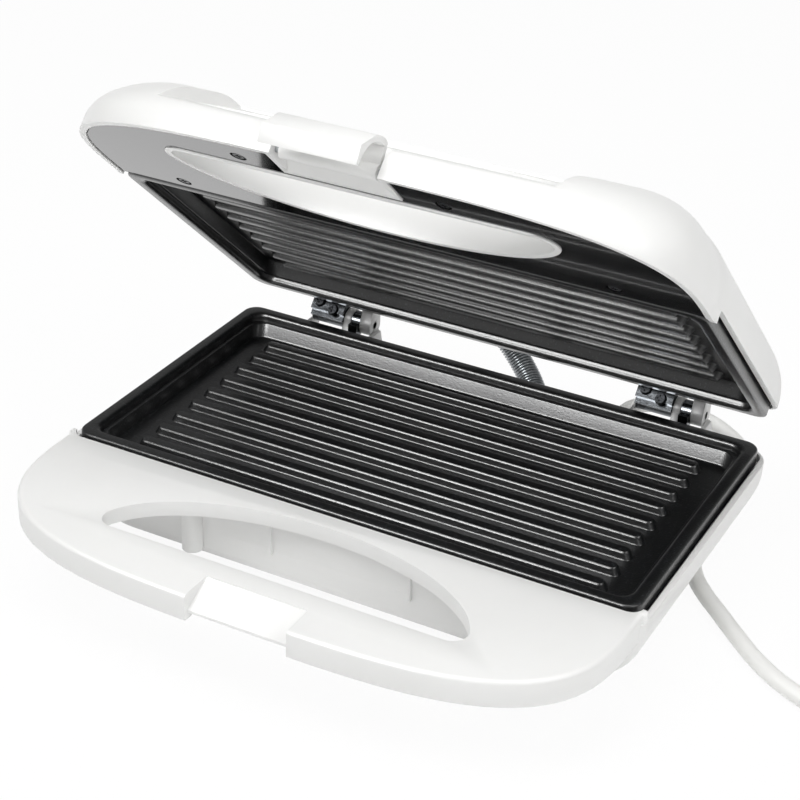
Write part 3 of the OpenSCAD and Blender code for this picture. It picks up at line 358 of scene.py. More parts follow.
def round_bar(axis, centre, start, end, radius, count=32):
    """A round bar or bore along X, Y or Z; centre is its place across that axis."""
    ring = [(centre[0] + radius * math.cos(t), centre[1] + radius * math.sin(t))
            for t in (2 * math.pi * k / count for k in range(count))]
    return prism(ring, axis, start, end)


def round_rectangle(half_x, half_y, corner):
    """A rectangle in plan round the plate's middle, with round corners."""
    points = []
    for x_sign, y_sign, first in ((1, 1, 0), (-1, 1, 90), (-1, -1, 180), (1, -1, 270)):
        for k in range(9):
            turn = math.radians(first + 11.25 * k)
            points.append((x_sign * (half_x - corner) + corner * math.cos(turn),
                           plate_yc + y_sign * (half_y - corner) + corner * math.sin(turn)))
    return points


def hand_hole(grow, trim, bottom, top):
    """The hand hole: straight in front with round corners, half an ellipse behind; grow widens it."""
    reach, depth, corner = 74.0, hole_depth - trim, 6.0
    front = plate_y0 - 8.5 - depth

    def rear_edge(angle, out):
        x, y = math.cos(math.radians(angle)), math.sin(math.radians(angle))
        heading = math.atan2(reach * y, depth * x)
        return reach * x + out * math.cos(heading), front + depth * y + out * math.sin(heading), heading

    # the front corner's arc meets the ellipse where the arc's centre is as far from the front edge
    meet = next(k / 8 for k in range(720) if rear_edge(k / 8, -corner)[1] >= front + corner)
    centre_x, centre_y, heading = rear_edge(meet, -corner)
    half = [(centre_x + (corner + grow) * math.cos(t), centre_y + (corner + grow) * math.sin(t))
            for t in (-math.pi / 2 + (heading + math.pi / 2) * k / 12 for k in range(13))]
    half += [rear_edge(meet + (90 - meet) * k / 32, grow)[:2] for k in range(1, 32)]
    outline = half + [(0, front + depth + grow)] + [(-x, y) for x, y in reversed(half)]
    return prism(outline, "Z", bottom, top)


def final_mesh(piece):
    """A new mesh of the piece with its modifiers applied."""
    return bpy.data.meshes.new_from_object(piece.evaluated_get(bpy.context.evaluated_depsgraph_get()))


def joined_mesh(start, steps):
    """The mesh of a first body after each step has added or cut another."""
    body = mesh_piece("body", *start, None)
    tools = []
    for operation, shape in steps:
        tools.append(mesh_piece("tool", *shape, None))
        change = body.modifiers.new("change", "BOOLEAN")
        change.operation, change.solver, change.object = operation, "MANIFOLD", tools[-1]
    result = final_mesh(body)
    for thing in tools + [body]:
        bpy.data.objects.remove(thing)
    return result


def carved(name, start, steps, material, edge=0.4):
    """A moulding made from a first body by adding or cutting others, with a small radius on its edges."""
    result = joined_mesh(start, steps)
    work = bmesh.new()
    work.from_mesh(result)
    bmesh.ops.remove_doubles(work, verts=work.verts, dist=2e-6)
    bmesh.ops.dissolve_limit(work, angle_limit=math.radians(0.3), verts=work.verts, edges=work.edges)
    work.to_mesh(result)
    work.free()
    result.name = name
    piece = new_object(name, result)
    softening = piece.modifiers.new("softening", "BEVEL")
    softening.width = edge / 1000
    softening.segments = 2
    softening.limit_method = "ANGLE"
    softening.angle_limit = math.radians(50)
    finished = final_mesh(piece)
    piece.modifiers.clear()
    piece.data = finished
    piece.data.materials.clear()
    piece.data.materials.append(material)
    piece.data.shade_smooth()
    piece.data.set_sharp_from_angle(angle=math.radians(35))
    return piece


def hinge_ear(x0, x1, edge_z, foot):
    """A round ear on an arm from the back wall, with the pin's bore left to the CAD solid."""
    s = 1 if edge_z > 0 else -1
    disc = [(hinge_y + 4.8 * math.cos(math.radians(t)), hinge_z + 4.8 * math.sin(math.radians(t)))
            for t in range(0, 360, 10)]
    arm = [(hinge_y - 3.36, hinge_z - s * 3.36), (hinge_y - 8.15, hinge_z + edge_z + s * 0.8),
           (hinge_y - 8.15, hinge_z + s * foot), (hinge_y + 3.36, hinge_z + s * 3.36)]
    return prism(disc, "X", x0, x1), prism(arm, "X", x0, x1)


catch_z = grip_top - 8.6
notch_y = grip_y0 + 14
steps = [("UNION", grip_slab())]
steps += [("UNION", round_bar("Y", outlet, shell_y1 - wall - 6, shell_y1, 9.2, 48))
          for outlet in (cord_outlet, conduit_outlet)]
# the grip's hollow cuts into the bowl's front wall, so the bowl is added again after it
steps += [("DIFFERENCE", grip_hollow()), ("UNION", bowl(0, rim_z - 4.5))]
steps += [("UNION", hand_hole(wall, 0, grip_top - 6, grip_top - 1.2))]
steps += [("UNION", prism([(notch_y - 1.5, grip_top - 0.6), (notch_y + 2, grip_top - 0.6),
                           (notch_y + 2, grip_top - 3.5), (notch_y, grip_top - wall - 1.4),
                           (grip_y0 + 1.5, catch_z), (grip_y0 + 1.5, grip_top - 6.0)], "X", -21.3, 21.3))]
steps += [("UNION", block((s * 21.1 - 1.15, grip_y0 + 1, 28.5), (s * 21.1 + 1.15, grip_y0 + 15, 37.9)))
          for s in (-1, 1)]
steps += [("UNION", block((x, shell_y0 - wall - 1.2, rim_z - 24),
                          (x + 1.6, shell_y0 - wall + 0.5, rim_z - 9))) for x in (-27, 31)]
steps += [("UNION", round_bar("Z", (-60, shell_y0 - wall - 1), rim_z - 32, rim_z - 7, 4, 40))]
steps += [("DIFFERENCE", bowl(wall, rim_z + 1))]
room = round_rectangle(room_x, room_y, 6)
steps += [("DIFFERENCE", prism(room, "Z", rim_z - 8, rim_z + 3))]
steps += [("DIFFERENCE", hand_hole(0, 0, grip_top - 12, grip_top + 6))]
steps += [("DIFFERENCE", prism([
    (notch_y, grip_top + 5), (notch_y, grip_top - 0.4), (grip_y0 + 1.7, grip_top - 6.6),
    (grip_y0 + 1.7, catch_z + 0.9), (grip_y0 + 2.6, catch_z), (grip_y0 + wall + 0.7, catch_z),
    (grip_y0 + wall + 0.7, grip_top - 20), (grip_y0 - 5, grip_top - 20), (grip_y0 - 5, grip_top + 5)],
    "X", -20, 20))]
steps += [("DIFFERENCE", round_bar("Z", (sx * 70, plate_yc + sy * 34), -1, 8.8, 3.5, 32)) for sx in (-1, 1)
          for sy in (-1, 1)]
for outlet, bore, recess in ((cord_outlet, 6, 7.8), (conduit_outlet, 6.5, 7.7)):
    steps += [("DIFFERENCE", round_bar("Y", outlet, plate_y1 - 8, shell_y1 + 5, bore, 48)),
              ("DIFFERENCE", round_bar("Y", outlet, plate_y1 - 8, shell_y1 - wall, recess, 48))]
for side in hinge_sides:
    for shape in hinge_ear(side + 1.6, side + 4.6, -4.5, 9.2):
        steps += [("UNION", shape)]
    for s in (-1, 1):
        cheek = [(0, -17), (0, -8.5), (1.0, -3), (2.5, -2.5), (2.5, -17)]
        cheek_line = [(side + s * (-17 + u), hinge_z + v) for u, v in cheek]
        steps += [("UNION", prism(cheek_line, "Y", hinge_y - 8.15, hinge_y + 2))]
lower_housing = carved("lower_housing", bowl(0, rim_z - 4.5), steps, white_abs)
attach(lower_housing, "base")
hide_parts("base_shell")

# ---- Lower plate ----
# A die-cast aluminium tray with a flat rim, a narrow ledge and nine rounded ribs along it,
# coated black against sticking. Its skirt hangs inside the housing's rim.
rib_count, rib_pitch, tub_depth = 9, 11.55, 9

# PTFE coating, sprayed and baked: near-black, half matt, with the fine orange peel and mica of such coats.
non_stick, tree, place = start_finish("ptfe_coated_aluminium")
peel = add_node(tree, "ShaderNodeTexNoise", {"Vector": place, "Scale": 1500.0, "Detail": 2.0})
# the mica is under 0.1 mm, drawn at 0.5 mm so that it shows
flakes = add_node(tree, "ShaderNodeTexVoronoi", {"Vector": place, "Scale": 1900.0})
flake_colour = add_node(tree, "ShaderNodeSeparateColor", {"Color": flakes.outputs["Color"]})
flake_pick = add_node(tree, "ShaderNodeMapRange",
                      {"Value": flake_colour.outputs[0], "From Min": 0.9, "From Max": 1.0, "To Max": 1.0})
tone = add_node(tree, "ShaderNodeMix", {0: flake_pick.outputs[0], 6: linear("#0f1011"), 7: linear("#34373a")},
                data_type="RGBA")
wear = add_node(tree, "ShaderNodeTexNoise", {"Vector": place, "Scale": 60.0, "Detail": 4.0})
shine = add_node(tree, "ShaderNodeMapRange", {"Value": wear.outputs["Fac"], "To Min": 0.3, "To Max": 0.42})
bump = add_node(tree, "ShaderNodeBump", {"Height": peel.outputs["Fac"], "Strength": 0.4, "Distance": 0.0003})
surface = add_node(tree, "ShaderNodeBsdfPrincipled",
                   {"Base Color": tone.outputs[2], "Roughness": shine.outputs[0], "Normal": bump.outputs[0],
                    "IOR": 1.5, "Coat Weight": 0.6, "Coat Roughness": 0.2, "Coat IOR": 1.5})
add_node(tree, "ShaderNodeOutputMaterial", {"Surface": surface.outputs[0]})


def rib_mesh():
    """One rib at the origin: a long hump with steep sides and round, sloping ends."""
    section = [(3.4, -0.25), (3.1, 0), (2.8, 0.15), (2.66, 0.4), (2.46, 2.3), (2.38, 2.5), (2, 3.04),
               (1.75, 3.13), (1.2, 3.19), (0.2, 3.2)]
    points = []
    for wide, z in section:
        middle = 98.6 - 0.55 * max(z, 0) - wide
        for end in (1, -1):
            for k in range(13):
                turn = math.radians(15 * k - 90 * end)
                points.append((end * middle + wide * math.cos(turn), wide * math.sin(turn), z))
    count = 26
    faces = ring_faces(len(section), count)
    faces.append(tuple((len(section) - 1) * count + k for k in range(count)))
    faces.append(tuple(reversed(range(count))))
    mesh = bpy.data.meshes.new("rib")
    mesh.from_pydata([(x / 1000, y / 1000, z / 1000) for x, y, z in points], [], faces)
    return mesh


def start_tree(name, inputs):
    """A new Geometry Nodes tree with named inputs; returns it and each input's identifier."""
    tree = bpy.data.node_groups.new(name, "GeometryNodeTree")
    tree.interface.new_socket("Geometry", in_out="INPUT", socket_type="NodeSocketGeometry")
    keys = {label: tree.interface.new_socket(
        label, in_out="INPUT", socket_type="NodeSocket" + kind).identifier for label, kind in inputs.items()}
    tree.interface.new_socket("Geometry", in_out="OUTPUT", socket_type="NodeSocketGeometry")
    return tree, keys


def grown_mesh(piece, tree, keys, values):
    """The plain mesh that a tree makes on a piece, which is then removed."""
    growth = piece.modifiers.new("growth", "NODES")
    growth.node_group = tree
    for label, value in values.items():
        growth[keys[label]] = value
    mesh = final_mesh(piece)
    bpy.data.objects.remove(piece)
    return mesh


def ribs_along(count, pitch, floor_z, material):
    """The ribs of one plate, set side by side at an even pitch by Geometry Nodes."""
    rib = new_object("rib", rib_mesh())
    tree, keys = start_tree("ribs_side_by_side", {
        "Rib": "Object", "Count": "Int", "Pitch": "Float", "First": "Vector", "Finish": "Material"})
    given = add_node(tree, "NodeGroupInput")
    step = add_node(tree, "ShaderNodeCombineXYZ", {"Y": given.outputs["Pitch"]})
    line = add_node(tree, "GeometryNodeMeshLine", {"Count": given.outputs["Count"],
                                                   "Start Location": given.outputs["First"],
                                                   "Offset": step.outputs[0]}, mode="OFFSET")
    shape = add_node(tree, "GeometryNodeObjectInfo", {"Object": given.outputs["Rib"]})
    placed = add_node(tree, "GeometryNodeInstanceOnPoints", {"Points": line.outputs[0],
                                                            "Instance": shape.outputs["Geometry"]})
    real = add_node(tree, "GeometryNodeRealizeInstances", {"Geometry": placed.outputs[0]})
    coated = add_node(tree, "GeometryNodeSetMaterial", {"Geometry": real.outputs[0],
                                                       "Material": given.outputs["Finish"]})
    add_node(tree, "NodeGroupOutput", {"Geometry": coated.outputs[0]})
    mesh = grown_mesh(new_object("ribs", bpy.data.meshes.new("ribs")), tree, keys, {
        "Rib": rib, "Count": count, "Pitch": pitch / 1000, "Finish": material,
        "First": (0, (plate_yc - pitch * (count - 1) / 2) / 1000, floor_z / 1000)})
    bpy.data.objects.remove(rib)
    return mesh


def cooking_plate(name):
    """A ribbed plate facing up with its rim at the height rim_z."""
    # underside, skirt and outer edge; round inner edge; ledge; leaning wall and floor
    chain = [(4.4, -13.6, 8), (4.2, -13.4, 8), (4.2, -2.6, 8), (2.6, -2.6, 3.4), (2.6, -6.5, 3.4),
             (0.3, -6.5, 5.8), (0, -6.2, 6), (0, -0.9, 6), (0.1, -0.5, 5.9), (0.35, -0.2, 5.7), (0.8, 0, 5.5),
             (3.7, 0, 5.5)]
    chain += [(3.7 + 1.8 * math.sin(math.radians(t)), 1.8 * (math.cos(math.radians(t)) - 1), 5.8)
              for t in range(15, 91, 15)]
    chain += [(5.52, -2.9, 6), (5.62, -3.12, 6), (5.85, -3.2, 6), (6.9, -3.25, 6), (7.15, -3.35, 6),
              (7.3, -3.65, 6), (7.95, -8.3, 5.8), (8.1, -8.65, 5.6), (8.45, -8.9, 5.3), (9.1, -9, 4.9)]
    points = []
    for inset, z, corner in chain:
        lean = 0.23 * max(-3.3 - z, 0) if inset > 4 else 0
        ring = round_rectangle(116 - inset, 64 - inset - lean, corner)
        points += [(x, y, rim_z + z) for x, y in ring]
    count = len(ring)
    ends = [tuple(range(count)), tuple((len(chain) - 1) * count + k for k in range(count))]
    plate = mesh_piece(name, points, ends + ring_faces(len(chain), count), non_stick, 40)
    work = bmesh.new()
    work.from_mesh(plate.data)
    work.from_mesh(ribs_along(rib_count, rib_pitch, rim_z - tub_depth, non_stick))
    work.to_mesh(plate.data)
    work.free()
    plate.data.shade_smooth()
    plate.data.set_sharp_from_angle(angle=math.radians(40))
    return plate


lower_plate = cooking_plate("lower_plate")
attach(lower_plate, "base")
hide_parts("base_plate")

# ---- Elements, heat shields and leads ----
# Behind each plate lie a bent tubular element, a sheet of aluminium that throws the heat back,
# and silicone leads. They are hidden once the toaster is shut up.

# Stainless tube, annealed by its own heat: dull grey with straw and blue bands.
element_tube, tree, place = start_finish("annealed_element_tube")
bands = add_node(tree, "ShaderNodeTexNoise", {"Vector": place, "Scale": 40.0, "Detail": 3.0})
tint = add_node(tree, "ShaderNodeValToRGB", {"Fac": bands.outputs["Fac"]})
tint.color_ramp.elements[0].color = linear("#5d5a56")
tint.color_ramp.elements[1].color = linear("#6f6354")
tint.color_ramp.elements[0].position, tint.color_ramp.elements[1].position = 0.35, 0.7
surface = add_node(tree, "ShaderNodeBsdfPrincipled",
                   {"Base Color": tint.outputs[0], "Metallic": 1.0, "Roughness": 0.45})
add_node(tree, "ShaderNodeOutputMaterial", {"Surface": surface.outputs[0]})
dress("base_heater", element_tube)
dress("lid_heater", element_tube)

# Aluminium sheet, rolled: bright grey with fine lines along the rolling direction.
rolled_sheet, tree, place = start_finish("rolled_aluminium_sheet")
stretched = add_node(tree, "ShaderNodeMapping", {"Vector": place, "Scale": (40.0, 2500.0, 2500.0)})
lines = add_node(tree, "ShaderNodeTexNoise", {"Vector": stretched.outputs[0], "Scale": 1.0, "Detail": 2.0})
shine = add_node(tree, "ShaderNodeMapRange", {"Value": lines.outputs["Fac"], "To Min": 0.25, "To Max": 0.5})
surface = add_node(tree, "ShaderNodeBsdfPrincipled",
                   {"Base Color": linear("#c3c5c6"), "Metallic": 1.0, "Roughness": shine.outputs[0]})
add_node(tree, "ShaderNodeOutputMaterial", {"Surface": surface.outputs[0]})
for name in ("base_reflector", "lid_reflector", "thermal_fuse"):
    dress(name, rolled_sheet)

# Silicone rubber, extruded over the leads: matt brick red.
lead_silicone, tree, place = start_finish("silicone_lead_insulation")
dust = add_node(tree, "ShaderNodeTexNoise", {"Vector": place, "Scale": 300.0, "Detail": 3.0})
tone = add_node(tree, "ShaderNodeMix", {0: dust.outputs["Fac"], 6: linear("#8c2b22"), 7: linear("#a9473a")},
                data_type="RGBA")
surface = add_node(tree, "ShaderNodeBsdfPrincipled",
                   {"Base Color": tone.outputs[2], "Roughness": 0.62, "IOR": 1.41})
add_node(tree, "ShaderNodeOutputMaterial", {"Surface": surface.outputs[0]})
dress("base_wiring", lead_silicone)
dress("lid_wiring", lead_silicone)

# Steatite and heat-proof plastic: matt ivory with a slightly speckled fracture.
ivory_body, tree, place = start_finish("ivory_steatite")
specks = add_node(tree, "ShaderNodeTexNoise", {"Vector": place, "Scale": 500.0, "Detail": 4.0})
tone = add_node(tree, "ShaderNodeMix", {0: specks.outputs["Fac"], 6: linear("#cfc5ae"), 7: linear("#e6dfcd")},
                data_type="RGBA")
surface = add_node(tree, "ShaderNodeBsdfPrincipled",
                   {"Base Color": tone.outputs[2], "Roughness": 0.6, "IOR": 1.6})
add_node(tree, "ShaderNodeOutputMaterial", {"Surface": surface.outputs[0]})
dress("terminal_block", ivory_body)
dress("thermostat", ivory_body)

# ---- Feet and screws ----
# Four moulded rubber feet stand under the bowl. Zinc-plated steel screws hold the plates
# and the heat shields; black oxide steel screws hold the hinge leaves and the panel.

# Nitrile rubber, moulded: matt black, with patches of dust.
foot_rubber, tree, place = start_finish("moulded_nitrile_rubber")
dust = add_node(tree, "ShaderNodeTexNoise", {"Vector": place, "Scale": 260.0, "Detail": 5.0})
tone = add_node(tree, "ShaderNodeMix", {0: dust.outputs["Fac"], 6: linear("#161616"), 7: linear("#2c2c2b")},
                data_type="RGBA")
bump = add_node(tree, "ShaderNodeBump", {"Height": dust.outputs["Fac"], "Strength": 0.2, "Distance": 0.0002})
surface = add_node(tree, "ShaderNodeBsdfPrincipled",
                   {"Base Color": tone.outputs[2], "Roughness": 0.75, "Normal": bump.outputs[0], "IOR": 1.52})
add_node(tree, "ShaderNodeOutputMaterial", {"Surface": surface.outputs[0]})
for name in ("rubber_feet", "base_grommet", "lid_grommet", "conduit_sleeve"):
    dress(name, foot_rubber)

# Steel, cold headed and zinc plated: bright with a bluish cast and faint turning marks.
zinc_steel, tree, place = start_finish("zinc_plated_steel")
plating = add_node(tree, "ShaderNodeTexNoise", {"Vector": place, "Scale": 900.0, "Detail": 3.0})
shine = add_node(tree, "ShaderNodeMapRange", {"Value": plating.outputs["Fac"], "To Min": 0.2, "To Max": 0.42})
bump = add_node(tree, "ShaderNodeBump",
                {"Height": plating.outputs["Fac"], "Strength": 0.1, "Distance": 0.0001})
surface = add_node(tree, "ShaderNodeBsdfPrincipled",
                   {"Base Color": linear("#b9bcbf"), "Metallic": 1.0, "Roughness": shine.outputs[0],
                    "Normal": bump.outputs[0]})
add_node(tree, "ShaderNodeOutputMaterial", {"Surface": surface.outputs[0]})
for name in ("base_screws", "reflector_screws", "hinge_pins", "latch_pin"):
    dress(name, zinc_steel)

# Steel with a black nickel plating, as on the hinge leaves: dark and mirror-like, with faint press marks.
black_nickel, tree, place = start_finish("black_nickel_plated_steel")
plating = add_node(tree, "ShaderNodeTexNoise", {"Vector": place, "Scale": 350.0, "Detail": 4.0})
tone = add_node(tree, "ShaderNodeMix",
                {0: plating.outputs["Fac"], 6: linear("#4c4e51"), 7: linear("#6c6f72")}, data_type="RGBA")
shine = add_node(tree, "ShaderNodeMapRange",
                 {"Value": plating.outputs["Fac"], "To Min": 0.14, "To Max": 0.26})
surface = add_node(tree, "ShaderNodeBsdfPrincipled",
                   {"Base Color": tone.outputs[2], "Metallic": 1.0, "Roughness": shine.outputs[0]})
add_node(tree, "ShaderNodeOutputMaterial", {"Surface": surface.outputs[0]})
for name in ("base_hinge_leaves", "lid_hinge_leaves"):
    dress(name, black_nickel)

# Steel with a black oxide coat, as on the hinges' and the panel's screws: dark, with an oily sheen.
black_steel, tree, place = start_finish("black_oxide_steel")
coat = add_node(tree, "ShaderNodeTexNoise", {"Vector": place, "Scale": 700.0, "Detail": 4.0})
tone = add_node(tree, "ShaderNodeMix", {0: coat.outputs["Fac"], 6: linear("#232426"), 7: linear("#3a3c3f")},
                data_type="RGBA")
shine = add_node(tree, "ShaderNodeMapRange", {"Value": coat.outputs["Fac"], "To Min": 0.22, "To Max": 0.36})
surface = add_node(tree, "ShaderNodeBsdfPrincipled",
                   {"Base Color": tone.outputs[2], "Metallic": 0.8, "Roughness": shine.outputs[0]})
add_node(tree, "ShaderNodeOutputMaterial", {"Surface": surface.outputs[0]})
for name in ("base_hinge_screws", "lid_hinge_screws", "panel_screws"):
    dress(name, black_steel)

# ---- Upper housing ----
# The lid is a second ABS moulding, rounded at its sides, front and back. Its roof falls to the front,
# where a flat is sunk round the hand hole, and a pocket in the front holds the latch.
lid_rim, lid_top = 42.2, 75.2
open_cos, open_sin = math.cos(math.radians(41.8)), math.sin(math.radians(41.8))
lid_outlet = (-16, 58.7)


def opened(shape):
    """Turns points drawn for the shut lid to the angle at which the lid stands open."""
    points, faces = shape
    return [(x, hinge_y + open_cos * (y - hinge_y) + open_sin * (z - hinge_z),
             hinge_z - open_sin * (y - hinge_y) + open_cos * (z - hinge_z)) for x, y, z in points], faces


def lid_body(inset, foot_z):
    """The lid's outer form, or with an inset its hollow, from the height foot_z up."""
    side, nose, rear, rise_z = 28 - inset, 19 - inset, 13 - inset, lid_rim + 5
    rings = []
    for step in [-1] + list(range(0, 91, 5)):
        a = math.radians(max(step, 0))
        c = 1 - math.cos(a)
        x_in = inset + side * c
        outline = grip_line(x_in, inset + nose * c)
        outline += [(half_width - x_in, plate_y0 + 4), (half_width - x_in, plate_yc)]
        outline += rear_line(x_in, inset + rear * c)
        ring = []
        for x, y in outline:
            flat, slope = lid_top - inset, lid_rim + 15 + 0.345 * (y - grip_y0) - inset
            soft = 3.0
            gap = max(soft - abs(flat - slope), 0) / soft
            roof = min(flat, slope) - gap * gap * soft / 4
            ring.append((x, y, foot_z if step < 0 else rise_z + (roof - rise_z) * math.sin(a)))
        rings.append(ring)
    return ring_body(rings)


def sunken_flat(drop):
    """All that lies above the sunken flat round the hand hole."""
    lip = lid_rim + 10 - drop
    return prism([(grip_y0 - 5, lip - 1.75), (plate_y0 - 6, lip + 0.35 * 63.5), (plate_y0 - 6, lip + 60),
                  (grip_y0 - 5, lip + 60)], "X", -74 - drop, 74 + drop)


def latch_pocket(grow):
    """The pocket for the latch, with a sloping back; grow gives the walls round it."""
    rear = notch_y - 4.2 + grow * 0.65
    return prism([(grip_y0 - 10, lid_rim - 5), (rear + 13.5, lid_rim - 5), (rear, lid_rim + 5 + grow / 2),
                  (rear, lid_rim + 30), (grip_y0 - 10, lid_rim + 30)], "X", -20 - grow, 20 + grow)


hollow_mesh = joined_mesh(lid_body(wall, lid_rim - 1), [("DIFFERENCE", shape) for shape in (
    sunken_flat(wall), hand_hole(wall, 1.5, lid_rim - 2, lid_rim + 38), latch_pocket(wall))])
hollow_shape = ([tuple(1000 * c for c in v.co) for v in hollow_mesh.vertices],
                [tuple(p.vertices) for p in hollow_mesh.polygons])
steps = [("UNION", round_bar("Y", lid_outlet, shell_y1 - wall - 6, shell_y1, 9.2, 48)),
         ("DIFFERENCE", sunken_flat(0)), ("DIFFERENCE", hollow_shape),
         ("DIFFERENCE", hand_hole(0, 1.5, lid_rim - 2, lid_rim + 38)), ("DIFFERENCE", latch_pocket(0)),
         ("DIFFERENCE", block((-200, plate_y0 + 3, lid_rim - 1), (200, plate_y0 + 259, lid_rim + 4.5))),
         ("DIFFERENCE", round_bar("X", (grip_y0 + 4.5, lid_rim + 3.2), -21.6, 21.6, 1.35, 24))]
rear_room = [(x, y) for x, y in room if y > plate_yc]
steps += [("DIFFERENCE", prism([(room_x, plate_yc)] + rear_room + [(-room_x, plate_yc)], "Z",
                               lid_rim - 1, lid_rim + 8))]
steps += [("DIFFERENCE", round_bar("Y", lid_outlet, plate_y1 - 8, shell_y1 + 5, 6.5, 48)),
          ("DIFFERENCE", round_bar("Y", lid_outlet, plate_y1 - 8, shell_y1 - wall, 7.7, 48))]
steps += [("DIFFERENCE", round_bar("Z", (x, plate_yc), lid_top - 5, lid_top + 3, 4.15, 40))
          for x in (-12, 12)]
for side in hinge_sides:
    for shape in hinge_ear(side + 9.2, side + 14.2, 7.0, 16):
        steps += [("UNION", shape)]
upper_housing = carved("upper_housing", opened(lid_body(0, lid_rim)),
                       [(operation, opened(shape)) for operation, shape in steps], white_abs)
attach(upper_housing, "lid")
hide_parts("lid_shell")

# ---- Upper plate ----
# The same coated casting as the lower plate, hung face down inside the lid's rim.
# It is drawn like the lower one, turned over and opened with the lid.
upper_plate = cooking_plate("upper_plate")
for vertex in upper_plate.data.vertices:
    y, z = vertex.co.y * 1000 - hinge_y, (rim_z + lid_rim) - vertex.co.z * 1000 - hinge_z
    vertex.co.y = (hinge_y + open_cos * y + open_sin * z) / 1000
    vertex.co.z = (hinge_z - open_sin * y + open_cos * z) / 1000
upper_plate.data.flip_normals()
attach(upper_plate, "lid")
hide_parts("lid_plate")

# ---- Panel under the lid's grip ----
# A glossy black ABS cover, 2 mm thick, with the hand hole through it.
# Four screws hold it up against posts in the lid.

# ABS, polished mould: deep black and mirror-like, with hairline scuffs.
black_gloss, tree, place = start_finish("polished_black_abs")
scuffs = add_node(tree, "ShaderNodeTexNoise", {"Vector": place, "Scale": 120.0, "Detail": 5.0})
shine = add_node(tree, "ShaderNodeMapRange", {"Value": scuffs.outputs["Fac"], "To Min": 0.05, "To Max": 0.14})
surface = add_node(tree, "ShaderNodeBsdfPrincipled",
                   {"Base Color": linear("#0a0a0b"), "Roughness": shine.outputs[0], "IOR": 1.54,
                    "Coat Weight": 0.5, "Coat Roughness": 0.03})
add_node(tree, "ShaderNodeOutputMaterial", {"Surface": surface.outputs[0]})
dress("lid_panel", black_gloss)

# ---- Lamps ----
# Two translucent polycarbonate lenses, red for power and green for ready.
# They are moulded with fine facets and pressed into the roof.
for node_name, glow, label in (("power_lamp", "#b3261b", "red"), ("ready_lamp", "#2c8f3f", "green")):
    lens, tree, place = start_finish(label + "_polycarbonate_lens")
    facets = add_node(tree, "ShaderNodeTexVoronoi", {"Vector": place, "Scale": 900.0})
    bump = add_node(tree, "ShaderNodeBump", {"Height": facets.outputs["Distance"], "Strength": 0.2,
                                             "Distance": 0.0003})
    surface = add_node(tree, "ShaderNodeBsdfPrincipled",
                       {"Base Color": linear(glow), "Roughness": 0.12, "IOR": 1.58,
                        "Transmission Weight": 0.3, "Normal": bump.outputs[0]})
    add_node(tree, "ShaderNodeOutputMaterial", {"Surface": surface.outputs[0]})
    dress(node_name, lens)

# ---- Spring conduit ----
# A close-wound spring of dark plated steel wire guards the leads between the two halves.
# It is drawn bent to the open lid, held by a rubber bush at each end.

# Spring wire, drawn and phosphated: dark steel with bright lines where the turns catch the light.
spring_wire, tree, place = start_finish("phosphated_spring_wire")
film = add_node(tree, "ShaderNodeTexNoise", {"Vector": place, "Scale": 500.0, "Detail": 3.0})
tone = add_node(tree, "ShaderNodeMix", {0: film.outputs["Fac"], 6: linear("#7b7e81"), 7: linear("#a6a9ac")},
                data_type="RGBA")
surface = add_node(tree, "ShaderNodeBsdfPrincipled",
                   {"Base Color": tone.outputs[2], "Metallic": 1.0, "Roughness": 0.34})
add_node(tree, "ShaderNodeOutputMaterial", {"Surface": surface.outputs[0]})

conduit_x, conduit_y, conduit_z, straight, ease, conduit_radius = 16, -12.3, 19, 10, 18, 5.0
low_end = Vector((conduit_x, conduit_y, -conduit_z))
high_end = Vector((-conduit_x, conduit_y * open_cos + conduit_z * open_sin,
                   -conduit_y * open_sin + conduit_z * open_cos))
low_way, high_way = Vector((0, 1, 0)), Vector((0, open_cos, -open_sin))
near, far = low_end + straight * low_way, high_end + straight * high_way
near_pull, far_pull = near + ease * low_way, far + ease * high_way
centre_line = [low_end + straight * low_way * k / 20 for k in range(20)]
for k in range(121):
    t = k / 120
    centre_line.append(near * (1 - t) ** 3 + 3 * near_pull * t * (1 - t) ** 2
                       + 3 * far_pull * t * t * (1 - t) + far * t ** 3)
centre_line += [high_end + straight * high_way * k / 20 for k in range(19, -1, -1)]
runs = [0.0]
for before, after in zip(centre_line, centre_line[1:]):
    runs.append(runs[-1] + (after - before).length)


def on_line(run):
    """A point on the conduit's centre line and its heading there."""
    run = min(max(run, 0.0), runs[-1] - 1e-6)
    k = next(i for i in range(len(runs) - 1) if runs[i + 1] > run)
    f = (run - runs[k]) / (runs[k + 1] - runs[k])
    return centre_line[k].lerp(centre_line[k + 1], f), (centre_line[k + 1] - centre_line[k]).normalized()


def ring_round(run, radius, turn):
    """A point at a turn round the conduit's centre line, in millimetres."""
    spot, heading = on_line(run)
    side = heading.cross(Vector((0.8, 0, 0.6))).normalized()
    rise = side.cross(heading)
    return Vector((0, hinge_y, hinge_z)) + spot + radius * (math.cos(turn) * side + math.sin(turn) * rise)


